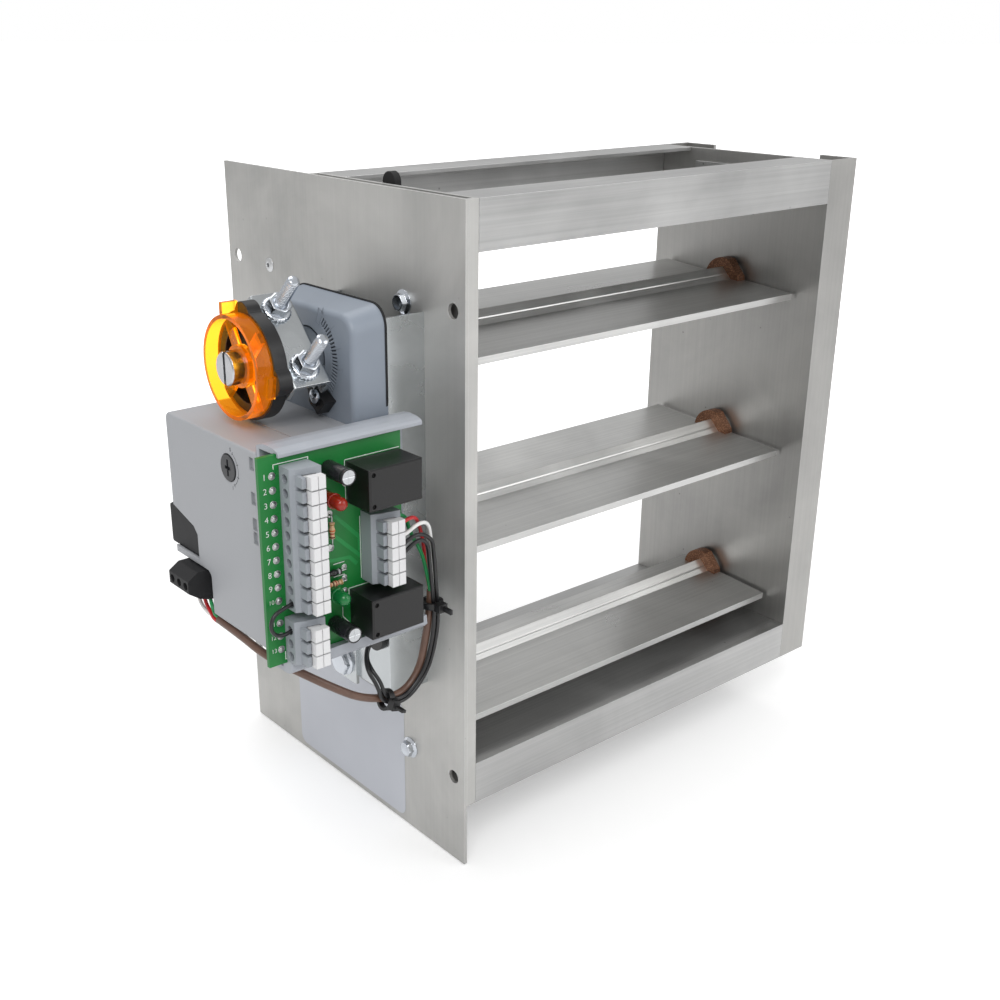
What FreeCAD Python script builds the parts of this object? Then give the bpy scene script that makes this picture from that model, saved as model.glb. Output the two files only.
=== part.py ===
import FreeCAD, Part
import math
import os

# Slip-in modulating zone damper for rectangular duct, in millimetres.
# X runs along the blades, from the duct wall (x = 0) into the duct. Y is the air's direction. Z is up.
# The origin is the centre of the four screw holes, on the plate face that seats on the duct wall.
# The actuator, its bracket, the board and the leads are built about the top blade's axis and hung on it.

V = FreeCAD.Vector
ALONG_X, ALONG_Y, ALONG_Z = V(1, 0, 0), V(0, 1, 0), V(0, 0, 1)

# Mounting plate
PLATE_WIDTH = 167.6
PLATE_HEIGHT = 279.4
PLATE_T = 1.5
SCREW_EDGE_Y = 7.1
SCREW_EDGE_Z = 40.6
SCREW_HOLE_R = 3.0

# Channel frame
FRAME_DEPTH = 101.6
AIRWAY_WIDTH = 207.9
PLATE_BELOW_FRAME = 28.8
FLANGE = 19.05
LIP = 19.0
CHANNEL_T = 1.6
PAN_GAP = 3.1
PAN_T = 1.5
TAB_HEIGHT = 13.0
TAB_INSET = 24.0
SEAM = 0.15
RIVET_R = 1.6
RIVET_HEAD_R = 3.1
RIVET_FROM_TAB_EDGE = 4.8

# Blades
BLADE_COUNT = 3
CEILING_CLEAR = 1.45
FLOOR_TO_AXIS = 15.85
AXIS_PAST_MIDDLE = 1.2
NEAR_OVERLAP = 0.2
FAR_OVERLAP = 1.0
TRIM_CLEAR = 0.85
WING_T = 1.6
RIB_HALF = 5.9
RIB_WALL = 1.4
EDGE_LIP = 2.2
GROOVE = 0.35
BLADE_GAP = 1.9
REST_TILT = 4.2

# Hubs, journals and bushes
HUB_R = 10.2
HUB_T = 5.0
HUB_PROUD = 0.3
HUB_FLAT = 8.9
SPIGOT_LENGTH = 18.0
JOURNAL_R = 4.0
SHAFT_R = 6.35
RUNNING_FIT = 0.05
SNUG_FIT = 0.05
BUSH_FLANGE_T = 1.2
BUSH_WALL = 1.6
BUSH_FLANGE = 2.6
BUSH_PROUD = 0.9
SHAFT_END_X = -71.8
SLOT_W = 1.7
SLOT_DEPTH = 2.0

# Linkage in the far-side channel
CRANK_LENGTH = 25.0
CRANK_REST = 42.0
CRANK_T = 3.0
CRANK_BOSS_R = 6.8
CRANK_EYE_R = 5.2
PIN_R = 2.5
PIN_FIT = 0.05
TIE_WIDTH = 11.0
TIE_T = 2.0
SIDE_PLAY = 0.3
CLIP_R = 4.4
CLIP_T = 0.8

# Screws
HEX_AF = 6.35
HEX_FLANGE_R = 4.8
HEX_SHANK_R = 2.1
HEX_HEAD = 3.2
SCREW_TIP = 1.4
STRAP_BOLT_AF = 10.0
STRAP_BOLT_FLANGE_R = 6.3

# Stand-off bracket and anti-rotation strap, about the top axis
STANDOFF = 19.3
BRACKET_T = 1.5
BRACKET_HALF = 27.7
BRACKET_BOTTOM = -141.0
BRACKET_TOP = 16.0
FOOT = 11.0
FOOT_CUT_Z = 8.0
FOOT_RIVET_Z = [-135.0, -50.0]
STRAP_Y = 2.8
STRAP_HALF = 8.0
STRAP_T = 1.5
STRAP_LUG = 4.0
STRAP_PAST_BRACKET = 3.5
STRAP_BOLT = (3.3, -136.5)

# Actuator, about the top axis
CASE_NEAR = -31.8
CASE_WIDTH = 67.2
CASE_TOP = -22.3
CASE_HEIGHT = 76.4
CASE_DEPTH = 58.7
CASE_EDGE_R = 3.0
SKIN_T = 1.0
PLAY = 0.3
RECESS_WIDTH = 28.1
RECESS_HEIGHT = 18.2
RECESS_DEPTH = 26.0
HOUSING_HALF = 30.2
HOUSING_DEPTH = 14.7
HOUSING_TOP = 21.4
HOUSING_DRAFT = 1.4
HOUSING_TOP_DROP = 2.7
HOUSING_CORNER_R = 8.0
HOUSING_EDGE_R = 2.5
SLEEVE_R = 10.5
SLEEVE_PLAY = 0.4
TOOTH_ANGLE = -36.0
TOOTH_REACH = 15.2
TOOTH_W = 4.0
STOP_T = 5.2
SCALE_IN_R = 15.6
SCALE_OUT_R = 19.2
SCALE_COUNT = 26
BUTTON_DEPTH = 17.0
BUTTON_TRAVEL = 2.5
SWITCH_R = 5.0
SWITCH_PROUD = 0.4
SWITCH_FROM_NEAR = 19.6
SWITCH_BELOW_TOP = 10.4
SLOTS_BELOW_TOP = [4.7, 17.7, 27.6, 32.9]
PLUG_WIDTH = 15.4
PLUG_FROM_FAR = 8.2

# Shaft clamp and dials
CLAMP_ANGLE = 45.8
CLAMP_FRONT_X = -57.5
CLAMP_DEPTH = 16.5
CLAMP_T = 1.6
CLAMP_HALF = 20.0
CLAMP_SEAT = 14.0
CLAMP_SKIRT = 15.0
STUD_R = 2.5
STUD_SPACING = 25.0
STUD_REACH = 33.0
STUD_FROM_FRONT = 7.9
NUT_AF = 8.0
NUT_H = 4.2
NUT_FLANGE_R = 5.7
NUT_FLANGE_T = 1.2
INDEX_T = 5.5
INDEX_R = 20.4
INDEX_LOBE_R = 23.4
INDEX_LOBE_HALF = 5.5
INDEX_LOBES = [-8.5, 92.0]
DIAL_R = 19.4
DIAL_WALL = 1.5
DIAL_FRONT_X = -69.5
DIAL_TAB_R = 23.4

# Snap track and circuit board
TRACK_FROM_FRONT = 0.5
TRACK_LENGTH = 61.8
TRACK_BELOW_CASE = 4.6
TRACK_HEIGHT = 85.7
TRACK_DEPTH = 13.7
TRACK_T = 1.9
TRACK_HOLD = 1.1
BOARD_PAST_TRACK = 7.4
BOARD_WIDTH = 60.0
BOARD_UP = 4.7
BOARD_HEIGHT = 79.2
BOARD_T = 1.6
BOARD_STANDOFF = 13.0

# Terminal strips and board parts
PITCH = 5.2
STRIP_END = 1.5
STRIP_W = 11.3
STRIP_WALL_H = 6.3
STRIP_FRONT_H = 7.9
WIRE_HOLE_R = 1.7
WIRE_HEIGHT = 3.4
LEVER_W = 6.0
LEVER_GAP = 0.5
LEVER_IN = 3.8
LEVER_PROUD = 14.0
LEVER_TRAVEL = 1.5
STEM_PLAY = 0.3
GUARD_W = 1.7
GUARD_H = 3.6
GUARD_LENGTH = 3.9
POLE_COUNTS = {"ten": 10, "three": 3, "five": 5}
STRIP_OFFSETS = {"ten": (8.2, 4.0), "three": (7.2, 60.9), "five": (41.4, 28.4)}
RELAY_OFFSETS = [(35.6, 24.0), (35.6, 74.0)]
RELAY_SIZE = (23.5, 14.6, 15.6)
CAPACITOR_OFFSETS = [(28.0, 9.3), (28.4, 70.0)]
CAPACITOR_R = 3.15
CAPACITOR_H = 13.2
LAMP_OFFSETS = [(26.6, 19.8), (26.6, 56.3)]
LAMP_R = 2.5
LAMP_H = 9.6

# Leads
CABLE_R = 1.6
SENSOR_R = 0.8
SENSOR_GAP = 2.0
CORE_R = 0.75
TIE_RING_R = 3.2
TIE_STRAP = 1.2
TIE_W = 2.6
LEAD_HOLE_R = 5.0
LEAD_HOLE = (-8.2, -128.0)
GROMMET = (-19.7, -116.0)

# Worked out from the sizes above
FRONT_Y = -PLATE_WIDTH / 2
REAR_Y = FRONT_Y + FRAME_DEPTH
TOP_Z = PLATE_HEIGHT / 2
BOTTOM_Z = -PLATE_HEIGHT / 2 + PLATE_BELOW_FRAME
SCREW_PITCH_Y = PLATE_WIDTH - 2 * SCREW_EDGE_Y
SCREW_PITCH_Z = PLATE_HEIGHT - 2 * SCREW_EDGE_Z
WEB_IN_X = PAN_GAP + PAN_T
FAR_X = WEB_IN_X + AIRWAY_WIDTH
CEILING = TOP_Z - FLANGE
FLOOR = BOTTOM_Z + FLANGE
AIRWAY_HEIGHT = CEILING - FLOOR
BLADE_PITCH = (AIRWAY_HEIGHT - FLOOR_TO_AXIS - CEILING_CLEAR - NEAR_OVERLAP) / (BLADE_COUNT - 0.5)
NEAR_WING = BLADE_PITCH / 2 + NEAR_OVERLAP
FAR_WING = BLADE_PITCH / 2 + FAR_OVERLAP
TRIMMED_WING = FLOOR_TO_AXIS - TRIM_CLEAR
AXIS_Y = FRONT_Y + FRAME_DEPTH / 2 + AXIS_PAST_MIDDLE
TOP_AXIS_Z = CEILING - CEILING_CLEAR - NEAR_WING
AXIS_Z = [TOP_AXIS_Z - i * BLADE_PITCH for i in range(BLADE_COUNT)]
NAMES = ["top", "middle", "bottom"]
BLADE_X0 = WEB_IN_X + BLADE_GAP
BLADE_X1 = FAR_X - BLADE_GAP
PLATE_OUT_X = -PLATE_T
SHAFT_HOLE_R = SHAFT_R + 2.0
SCREW_Y = AXIS_Y - 15.1
PLATE_SCREWS = [(SCREW_Y, TOP_AXIS_Z + 17.8), (SCREW_Y, FLOOR - 6.95)]
SPARE_RIVET = (PLATE_WIDTH / 2 - 34.0, TOP_Z - SCREW_EDGE_Z - 0.7)
BACK_X = PLATE_OUT_X - STANDOFF
CASE_FRONT_X = BACK_X - CASE_DEPTH
CASE_FAR = CASE_NEAR + CASE_WIDTH
CASE_BOTTOM = CASE_TOP - CASE_HEIGHT
HOUSING_FRONT_X = BACK_X - HOUSING_DEPTH
SWITCH_Y = CASE_NEAR + SWITCH_FROM_NEAR
SWITCH_Z = CASE_TOP - SWITCH_BELOW_TOP
PLUG_FAR = CASE_FAR - PLUG_FROM_FAR
PLUG_NEAR = PLUG_FAR - PLUG_WIDTH
FOOT_RIVETS = [(side * (BRACKET_HALF - FOOT / 2 - BRACKET_T / 2), z) for side in (-1, 1) for z in FOOT_RIVET_Z]
TRACK_LEFT = CASE_FRONT_X + TRACK_FROM_FRONT
TRACK_BOTTOM = CASE_BOTTOM - TRACK_BELOW_CASE
TRACK_TOP = TRACK_BOTTOM + TRACK_HEIGHT
BOARD_LEFT = TRACK_LEFT - BOARD_PAST_TRACK
BOARD_BOTTOM = TRACK_BOTTOM + BOARD_UP
BOARD_TOP = BOARD_BOTTOM + BOARD_HEIGHT
BOARD_FACE_Y = CASE_NEAR - BOARD_STANDOFF
BOARD_BACK_Y = BOARD_FACE_Y + BOARD_T


def box(x0, x1, y0, y1, z0, z1):
    return Part.makeBox(x1 - x0, y1 - y0, z1 - z0, V(x0, y0, z0))


def rod(point, radius, length, axis=ALONG_X):
    return Part.makeCylinder(radius, length, V(*point), axis)


def prism_x(points, x0, x1):
    """A (y, z) outline carried from x0 to x1."""
    wire = Part.makePolygon([V(x0, y, z) for y, z in points + points[:1]])
    return Part.Face(wire).extrude(V(x1 - x0, 0, 0))


def prism_y(points, y0, y1):
    """An (x, z) outline carried from y0 to y1."""
    wire = Part.makePolygon([V(x, y0, z) for x, z in points + points[:1]])
    return Part.Face(wire).extrude(V(0, y1 - y0, 0))


def prism_z(points, z0, z1):
    """An (x, y) outline carried from z0 to z1."""
    wire = Part.makePolygon([V(x, y, z0) for x, y in points + points[:1]])
    return Part.Face(wire).extrude(V(0, 0, z1 - z0))


def joined(first, *others):
    return first.fuse(list(others)).removeSplitter()


def turned(shape, degrees, point, axis=ALONG_X):
    copy = shape.copy()
    copy.rotate(V(*point), axis, degrees)
    return copy


def edges_along(shape, axis, keep=None):
    """Straight edges of a shape that run along an axis, those that keep() accepts."""
    found = []
    for edge in shape.Edges:
        if edge.Curve.TypeId != "Part::GeomLine":
            continue
        run = edge.Vertexes[-1].Point - edge.Vertexes[0].Point
        if run.Length > 0 and abs(run.dot(axis)) > 0.999 * run.Length:
            if keep is None or keep(edge.CenterOfMass):
                found.append(edge)
    return found


def hexagon(point, across, height, axis=ALONG_X):
    """A hexagonal prism with its base centre at a point."""
    r = across / math.sqrt(3)
    corners = [V(r * math.cos(math.radians(60 * i + 30)), r * math.sin(math.radians(60 * i + 30)), 0)
               for i in range(6)]
    solid = Part.Face(Part.makePolygon(corners + corners[:1])).extrude(V(0, 0, height))
    solid.Placement = FreeCAD.Placement(V(*point), FreeCAD.Rotation(ALONG_Z, axis))
    return solid


def save(node, *solids):
    shape = solids[0] if len(solids) == 1 else Part.Compound(list(solids))
    shape.exportStep(f"parts/{node}.step")


def channel_outline(start, web, tip):
    """A lipped channel's section: (y, s) points, s from the duct face (web) out to the lips (tip)."""
    sign = 1 if tip > web else -1
    t = CHANNEL_T * sign
    y0, y1, w = start, start + FRAME_DEPTH, CHANNEL_T
    return [(y0, web), (y1, web), (y1, tip), (y1 - LIP, tip), (y1 - LIP, tip - t), (y1 - w, tip - t),
            (y1 - w, web + t), (y0 + w, web + t), (y0 + w, tip - t), (y0 + LIP, tip - t),
            (y0 + LIP, tip), (y0, tip)]


def hung(*shapes):
    """Copies of shapes built about the top axis, moved to where that axis is."""
    copies = [shape.copy() for shape in shapes]
    for copy in copies:
        copy.translate(V(0, AXIS_Y, TOP_AXIS_Z))
    return copies


# Mounting plate: flat sheet with the duct screws' holes, and the shaft's, lead's and fasteners' holes
def mounting_plate():
    half_y, half_z = PLATE_WIDTH / 2, PLATE_HEIGHT / 2
    plate = box(PLATE_OUT_X, 0, -half_y, half_y, -half_z, half_z)
    holes = [(sy * SCREW_PITCH_Y / 2, sz * SCREW_PITCH_Z / 2, SCREW_HOLE_R)
             for sy in (-1, 1) for sz in (-1, 1)]
    holes += [(y, z, HEX_SHANK_R) for y, z in PLATE_SCREWS]
    holes += [(*SPARE_RIVET, RIVET_R)]
    holes += [(AXIS_Y + y, TOP_AXIS_Z + z, RIVET_R) for y, z in FOOT_RIVETS]
    holes += [(AXIS_Y + LEAD_HOLE[0], TOP_AXIS_Z + LEAD_HOLE[1], LEAD_HOLE_R), (AXIS_Y, TOP_AXIS_Z, SHAFT_HOLE_R)]
    return plate.cut([rod((PLATE_OUT_X - 1, y, z), r, PLATE_T + 2) for y, z, r in holes])


# Drive-side frame: a shallow pan whose front and rear flanges seat on the plate
def drive_side_frame():
    web = box(PAN_GAP, WEB_IN_X, FRONT_Y, REAR_Y, BOTTOM_Z, TOP_Z)
    front = box(0, WEB_IN_X, FRONT_Y, FRONT_Y + PAN_T, BOTTOM_Z, TOP_Z)
    rear = box(0, WEB_IN_X, REAR_Y - PAN_T, REAR_Y, BOTTOM_Z, TOP_Z)
    cuts = [rod((0, y, z), HEX_SHANK_R, WEB_IN_X + 1) for y, z in PLATE_SCREWS]
    cuts += [rod((0, AXIS_Y, z), bush_r(i), WEB_IN_X + 1) for i, z in enumerate(AXIS_Z)]
    cuts += [rod((0, y, z), RIVET_R, WEB_IN_X + 1) for y, z in tab_rivets()]
    return joined(web, front, rear).cut(cuts)


def bush_r(index):
    """The bush barrel's radius in the drive-side web, where the top bush carries the shaft."""
    return (SHAFT_R if index == 0 else JOURNAL_R) + RUNNING_FIT + BUSH_WALL


def tab_rivets():
    from_side = TAB_INSET + RIVET_FROM_TAB_EDGE
    return [(y, z) for y in (FRONT_Y + from_side, REAR_Y - from_side)
            for z in (CEILING + TAB_HEIGHT * 0.62, FLOOR - TAB_HEIGHT * 0.62)]


# Top and bottom channels: open away from the duct, with end tabs bent up against the side webs
def cross_channel(web, tip):
    sign = 1 if tip > web else -1
    body = prism_x(channel_outline(FRONT_Y, web, tip), WEB_IN_X + SEAM, FAR_X - SEAM)
    z0, z1 = sorted((web, web + sign * TAB_HEIGHT))
    tabs = [box(x, x + CHANNEL_T, FRONT_Y + TAB_INSET, REAR_Y - TAB_INSET, z0, z1)
            for x in (WEB_IN_X, FAR_X - CHANNEL_T)]
    holes = [rod((x - 1, y, z), RIVET_R, CHANNEL_T + 2) for x in (WEB_IN_X, FAR_X - CHANNEL_T)
             for y, z in tab_rivets() if z0 < z < z1]
    holes += [rod((WEB_IN_X - 1, y, z), HEX_SHANK_R, CHANNEL_T + 2) for y, z in PLATE_SCREWS if z0 < z < z1]
    return joined(body, *tabs).cut(holes)


# Far-side channel: the same section stood on end, with the linkage inside it
def far_side_channel():
    outline = [(s, y) for y, s in channel_outline(FRONT_Y, FAR_X, FAR_X + FLANGE)]
    body = prism_z(outline, BOTTOM_Z, TOP_Z)
    cuts = [rod((FAR_X - 1, AXIS_Y, z), JOURNAL_R + RUNNING_FIT + BUSH_WALL, CHANNEL_T + 2) for z in AXIS_Z]
    cuts += [rod((FAR_X - 1, y, z), RIVET_R, CHANNEL_T + 2) for y, z in tab_rivets()]
    return body.cut(cuts)


def rivet(x0, x1, y, z):
    """A blind rivet through sheet from x0 (set end) to x1 (factory head), either way round."""
    sign = 1 if x1 > x0 else -1
    shank = rod((min(x0, x1), y, z), RIVET_R, abs(x1 - x0))
    head = Part.makeCylinder(RIVET_HEAD_R, RIVET_R * 0.56, V(x1, y, z), V(sign, 0, 0))
    tail = Part.makeCylinder(RIVET_R * 1.5, RIVET_R * 0.8, V(x0, y, z), V(-sign, 0, 0))
    return joined(shank, head, tail)


def frame_rivets():
    made = [rivet(WEB_IN_X + CHANNEL_T, PAN_GAP, y, z) for y, z in tab_rivets()]
    made += [rivet(FAR_X - CHANNEL_T, FAR_X + CHANNEL_T, y, z) for y, z in tab_rivets()]
    made += [rivet(0, PLATE_OUT_X, *SPARE_RIVET)]
    made += [rivet(0, PLATE_OUT_X - BRACKET_T, AXIS_Y + y, TOP_AXIS_Z + z) for y, z in FOOT_RIVETS]
    return made


def hex_screw(x_seat, x_end, y, z, across=HEX_AF, flange_r=HEX_FLANGE_R):
    """A hex washer-head screw whose head stands on the -X side of its seat."""
    flange_t = HEX_HEAD * 0.3
    flange = rod((x_seat - flange_t, y, z), flange_r, flange_t)
    head = hexagon((x_seat - HEX_HEAD, y, z), across, HEX_HEAD - flange_t)
    shank = rod((x_seat, y, z), HEX_SHANK_R, x_end - x_seat)
    return joined(flange, head, shank)


# Blades: an extruded section with a hollow square rib on its corner, that holds the hubs' spigots
def blade_section(far_wing):
    near = -NEAR_WING
    t = WING_T / 2
    wing = [(near, -t), (far_wing, -t), (far_wing, t), (near, t)]
    lip = [(near, -EDGE_LIP), (near + 1.1, -EDGE_LIP), (near + 1.1, 0), (near, 0)]
    return wing, lip, diamond(RIB_HALF)


def diamond(half, scale=1.1):
    return [(-half * scale, 0), (0, -half), (half * scale, 0), (0, half)]


def blade(index):
    """One blade in its own axis frame, then tilted to its rest position."""
    wing, lip, rib = blade_section(TRIMMED_WING if index == BLADE_COUNT - 1 else FAR_WING)
    body = joined(prism_x(wing, BLADE_X0, BLADE_X1), prism_x(lip, BLADE_X0, BLADE_X1),
                  prism_x(rib, BLADE_X0 + HUB_T, BLADE_X1 - HUB_T))
    bore = prism_x(diamond(RIB_HALF - RIB_WALL), BLADE_X0 - 1, BLADE_X1 + 1)
    notches = [box(x, x + HUB_T, -HUB_R, HUB_R, -RIB_HALF, RIB_HALF)
               for x in (BLADE_X0, BLADE_X1 - HUB_T)]
    face = RIB_HALF / 2
    grooves = [prism_x([(s * (face * 1.1 - 0.35), face + 0.37), (s * (face * 1.1 + 0.35), face - 0.33),
                        (s * face * 1.1, face - GROOVE)], BLADE_X0, BLADE_X1) for s in (-1, 1)]
    body = body.cut([bore] + notches + grooves)
    return placed(body, index)


def placed(shape, index):
    copy = shape.copy()
    copy.translate(V(0, AXIS_Y, AXIS_Z[index]))
    return turned(copy, REST_TILT, (0, AXIS_Y, AXIS_Z[index]))


def hub(x_face, sign, journal_r, journal_end, socket=None):
    """An end hub: disc in the blade's notch, spigot into the rib and journal out through the web."""
    disc_out = x_face + sign * HUB_PROUD
    disc_in = x_face - sign * HUB_T
    x0, x1 = sorted((disc_out, disc_in))
    body = rod((x0, 0, 0), HUB_R, x1 - x0)
    flat = box(x0 - 1, x1 + 1, -HUB_R, HUB_R, HUB_FLAT, HUB_R + 1)
    body = body.cut(turned(flat, 45, (0, 0, 0)))
    if socket:
        return body.cut(prism_x(diamond(socket), x0 - 1, x1 + 1))
    s0, s1 = sorted((disc_in, disc_in - sign * SPIGOT_LENGTH))
    spigot = prism_x(diamond(RIB_HALF - RIB_WALL - SNUG_FIT), s0, s1)
    j0, j1 = sorted((disc_out, journal_end))
    return joined(body, spigot, rod((j0, 0, 0), journal_r, j1 - j0))


CRANK_X0 = FAR_X + CHANNEL_T + BUSH_PROUD + SIDE_PLAY
CRANK_X1 = CRANK_X0 + CRANK_T
TONGUE_HALF = RIB_HALF - RIB_WALL - SNUG_FIT


def end_hubs(index):
    far = hub(BLADE_X1, 1, JOURNAL_R, CRANK_X1)
    socket = TONGUE_HALF + SNUG_FIT if index == 0 else None
    near = hub(BLADE_X0, -1, JOURNAL_R, SIDE_PLAY * 2, socket)
    return [placed(near, index), placed(far, index)]


def web_bush(index, side):
    """A flanged plastic bush, flange in the duct and barrel through the web."""
    bore = (SHAFT_R if index == 0 and side < 0 else JOURNAL_R) + RUNNING_FIT
    barrel = bore + BUSH_WALL
    if side < 0:
        x0, face, x1 = PAN_GAP - BUSH_PROUD, WEB_IN_X, WEB_IN_X + BUSH_FLANGE_T
    else:
        x0, face, x1 = FAR_X - BUSH_FLANGE_T, FAR_X, FAR_X + CHANNEL_T + BUSH_PROUD
    y, z = AXIS_Y, AXIS_Z[index]
    body = rod((x0, y, z), barrel, x1 - x0)
    start = face if side < 0 else x0
    flange = rod((start, y, z), barrel + BUSH_FLANGE, BUSH_FLANGE_T)
    return joined(body, flange).cut(rod((x0 - 1, y, z), bore, x1 - x0 + 2))


# Drive shaft: half-inch bar with a screwdriver slot outside and a square tongue in the blade's rib
def drive_shaft():
    start = BLADE_X0 - HUB_PROUD
    bar = rod((SHAFT_END_X, 0, 0), SHAFT_R, start - SHAFT_END_X)
    bar = bar.makeChamfer(0.5, [e for e in bar.Edges if e.Curve.TypeId == "Part::GeomCircle"
                                and abs(e.Curve.Center.x - SHAFT_END_X) < 0.01])
    tongue = prism_x(diamond(TONGUE_HALF), start, BLADE_X0 + HUB_T + SPIGOT_LENGTH)
    slot = box(SHAFT_END_X - 1, SHAFT_END_X + SLOT_DEPTH, -SLOT_W / 2, SLOT_W / 2, -SHAFT_R, SHAFT_R)
    return joined(bar, turned(tongue, REST_TILT, (0, 0, 0))).cut(slot)


# Cranks, pins, clips and the tie bar that makes the blades turn together
def crank_pin(index):
    a = math.radians(CRANK_REST)
    return AXIS_Y + CRANK_LENGTH * math.cos(a), AXIS_Z[index] + CRANK_LENGTH * math.sin(a)


TIE_X0 = CRANK_X1 + SIDE_PLAY
PIN_END = TIE_X0 + TIE_T + SIDE_PLAY + CLIP_T + 0.6


def crank(index):
    z = AXIS_Z[index]
    pin_y, pin_z = crank_pin(index)
    boss = rod((CRANK_X0, AXIS_Y, z), CRANK_BOSS_R, CRANK_T)
    eye = rod((CRANK_X0, pin_y, pin_z), CRANK_EYE_R, CRANK_T)
    length = CRANK_LENGTH
    arm = prism_x([(0, -CRANK_BOSS_R), (length, -CRANK_EYE_R), (length, CRANK_EYE_R), (0, CRANK_BOSS_R)],
                  CRANK_X0, CRANK_X1)
    arm.translate(V(0, AXIS_Y, z))
    arm = turned(arm, CRANK_REST, (0, AXIS_Y, z))
    body = joined(boss, eye, arm).cut([rod((CRANK_X0 - 1, AXIS_Y, z), JOURNAL_R, CRANK_T + 2),
                                       rod((CRANK_X0 - 1, pin_y, pin_z), PIN_R, CRANK_T + 2)])
    pin = rod((CRANK_X0, pin_y, pin_z), PIN_R, PIN_END - CRANK_X0)
    clip_x = TIE_X0 + TIE_T + SIDE_PLAY
    clip = rod((clip_x, pin_y, pin_z), CLIP_R, CLIP_T).cut(rod((clip_x, pin_y, pin_z), PIN_R, CLIP_T))
    gap = box(clip_x, clip_x + CLIP_T, pin_y, pin_y + CLIP_R, pin_z - PIN_R * 0.7, pin_z + PIN_R * 0.7)
    return [body, pin, clip.cut(gap)]


def tie_bar():
    pins = [crank_pin(i) for i in range(BLADE_COUNT)]
    y, top, low = pins[0][0], pins[0][1], pins[-1][1]
    half = TIE_WIDTH / 2
    bar = box(TIE_X0, TIE_X0 + TIE_T, y - half, y + half, low, top)
    ends = [rod((TIE_X0, y, z), half, TIE_T) for z in (top, low)]
    return joined(bar, *ends).cut([rod((TIE_X0 - 1, y, z), PIN_R + PIN_FIT, TIE_T + 2) for y, z in pins])


# Stand-off bracket: a channel that carries the actuator clear of the plate, riveted by its inward feet
def standoff_bracket():
    half, t = BRACKET_HALF, BRACKET_T
    outline = [(PLATE_OUT_X, -half), (PLATE_OUT_X, FOOT - half), (PLATE_OUT_X - t, FOOT - half),
               (PLATE_OUT_X - t, t - half), (BACK_X + t, t - half), (BACK_X + t, half - t),
               (PLATE_OUT_X - t, half - t), (PLATE_OUT_X - t, half - FOOT), (PLATE_OUT_X, half - FOOT),
               (PLATE_OUT_X, half), (BACK_X, half), (BACK_X, -half)]
    body = prism_z(outline, BRACKET_BOTTOM, BRACKET_TOP)
    cuts = [rod((BACK_X - 1, 0, 0), SLEEVE_R + SLEEVE_PLAY, t + 2)]
    cuts += [box(PLATE_OUT_X - t * 2, 0, t - half, half - t, FOOT_CUT_Z, BRACKET_TOP + 1)]
    cuts += [rod((PLATE_OUT_X - t - 1, y, z), RIVET_R, t + 2) for y, z in FOOT_RIVETS]
    cuts += [rod((BACK_X - 1, *GROMMET), LEAD_HOLE_R, t + 2)]
    cuts += [rod((BACK_X - 1, *STRAP_BOLT), HEX_SHANK_R, t + 2)]
    return body.cut(cuts)


# Anti-rotation strap: bolted to the bracket, its upper end held in the casing's lower wall
def rotation_strap():
    body = box(BACK_X - STRAP_T, BACK_X, STRAP_Y - STRAP_HALF, STRAP_Y + STRAP_HALF,
               BRACKET_BOTTOM - STRAP_PAST_BRACKET, CASE_BOTTOM + STRAP_LUG)
    return body.cut(rod((BACK_X - STRAP_T - 1, *STRAP_BOLT), HEX_SHANK_R, STRAP_T + 2))


# Actuator casing: closed moulded box with the plug's open corner, the button's window and the switch's seat
RECESS_TOP = CASE_BOTTOM + RECESS_HEIGHT
RECESS_NEAR = CASE_FAR - RECESS_WIDTH
BUTTON_OUTLINE = [(CASE_FAR + y, CASE_BOTTOM + z) for y, z in
                  [(4.9, 20.7), (4.9, 36.5), (0.9, 38.7), (-16.6, 33.7), (-19.2, 30.9), (-19.2, 20.6)]]


def actuator_casing():
    body = box(CASE_FRONT_X, BACK_X, CASE_NEAR, CASE_FAR, CASE_BOTTOM, CASE_TOP)
    body = body.makeFillet(CASE_EDGE_R, edges_along(body, ALONG_X, lambda c: c.z > CASE_TOP - 1))
    front = [e for e in body.Edges if abs(e.BoundBox.XMax - CASE_FRONT_X) < 0.01]
    body = body.makeFillet(CASE_EDGE_R * 0.3, front)
    recess = box(CASE_FRONT_X - 1, CASE_FRONT_X + RECESS_DEPTH, RECESS_NEAR, CASE_FAR + 1,
                 CASE_BOTTOM - 1, RECESS_TOP)
    recess = recess.makeFillet(CASE_EDGE_R, edges_along(recess, ALONG_X, lambda c: c.z > CASE_BOTTOM
                                                        and c.y < CASE_FAR))
    window = prism_x(BUTTON_OUTLINE, CASE_FRONT_X - 1, CASE_FRONT_X + SKIN_T)
    seat = rod((CASE_FRONT_X - 1, SWITCH_Y, SWITCH_Z), SWITCH_R + PLAY, 3.0)
    slots = [box(CASE_FRONT_X - 1, CASE_FRONT_X + 1.2, CASE_NEAR + 1.6, CASE_NEAR + 4.6,
                 CASE_TOP - down - 2.4, CASE_TOP - down + 2.4) for down in SLOTS_BELOW_TOP]
    lug = box(BACK_X - STRAP_T, BACK_X + 1, STRAP_Y - STRAP_HALF, STRAP_Y + STRAP_HALF,
              CASE_BOTTOM - 1, CASE_BOTTOM + STRAP_LUG)
    return body.cut([recess, window, button_pocket(), seat, lug] + slots)


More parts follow.
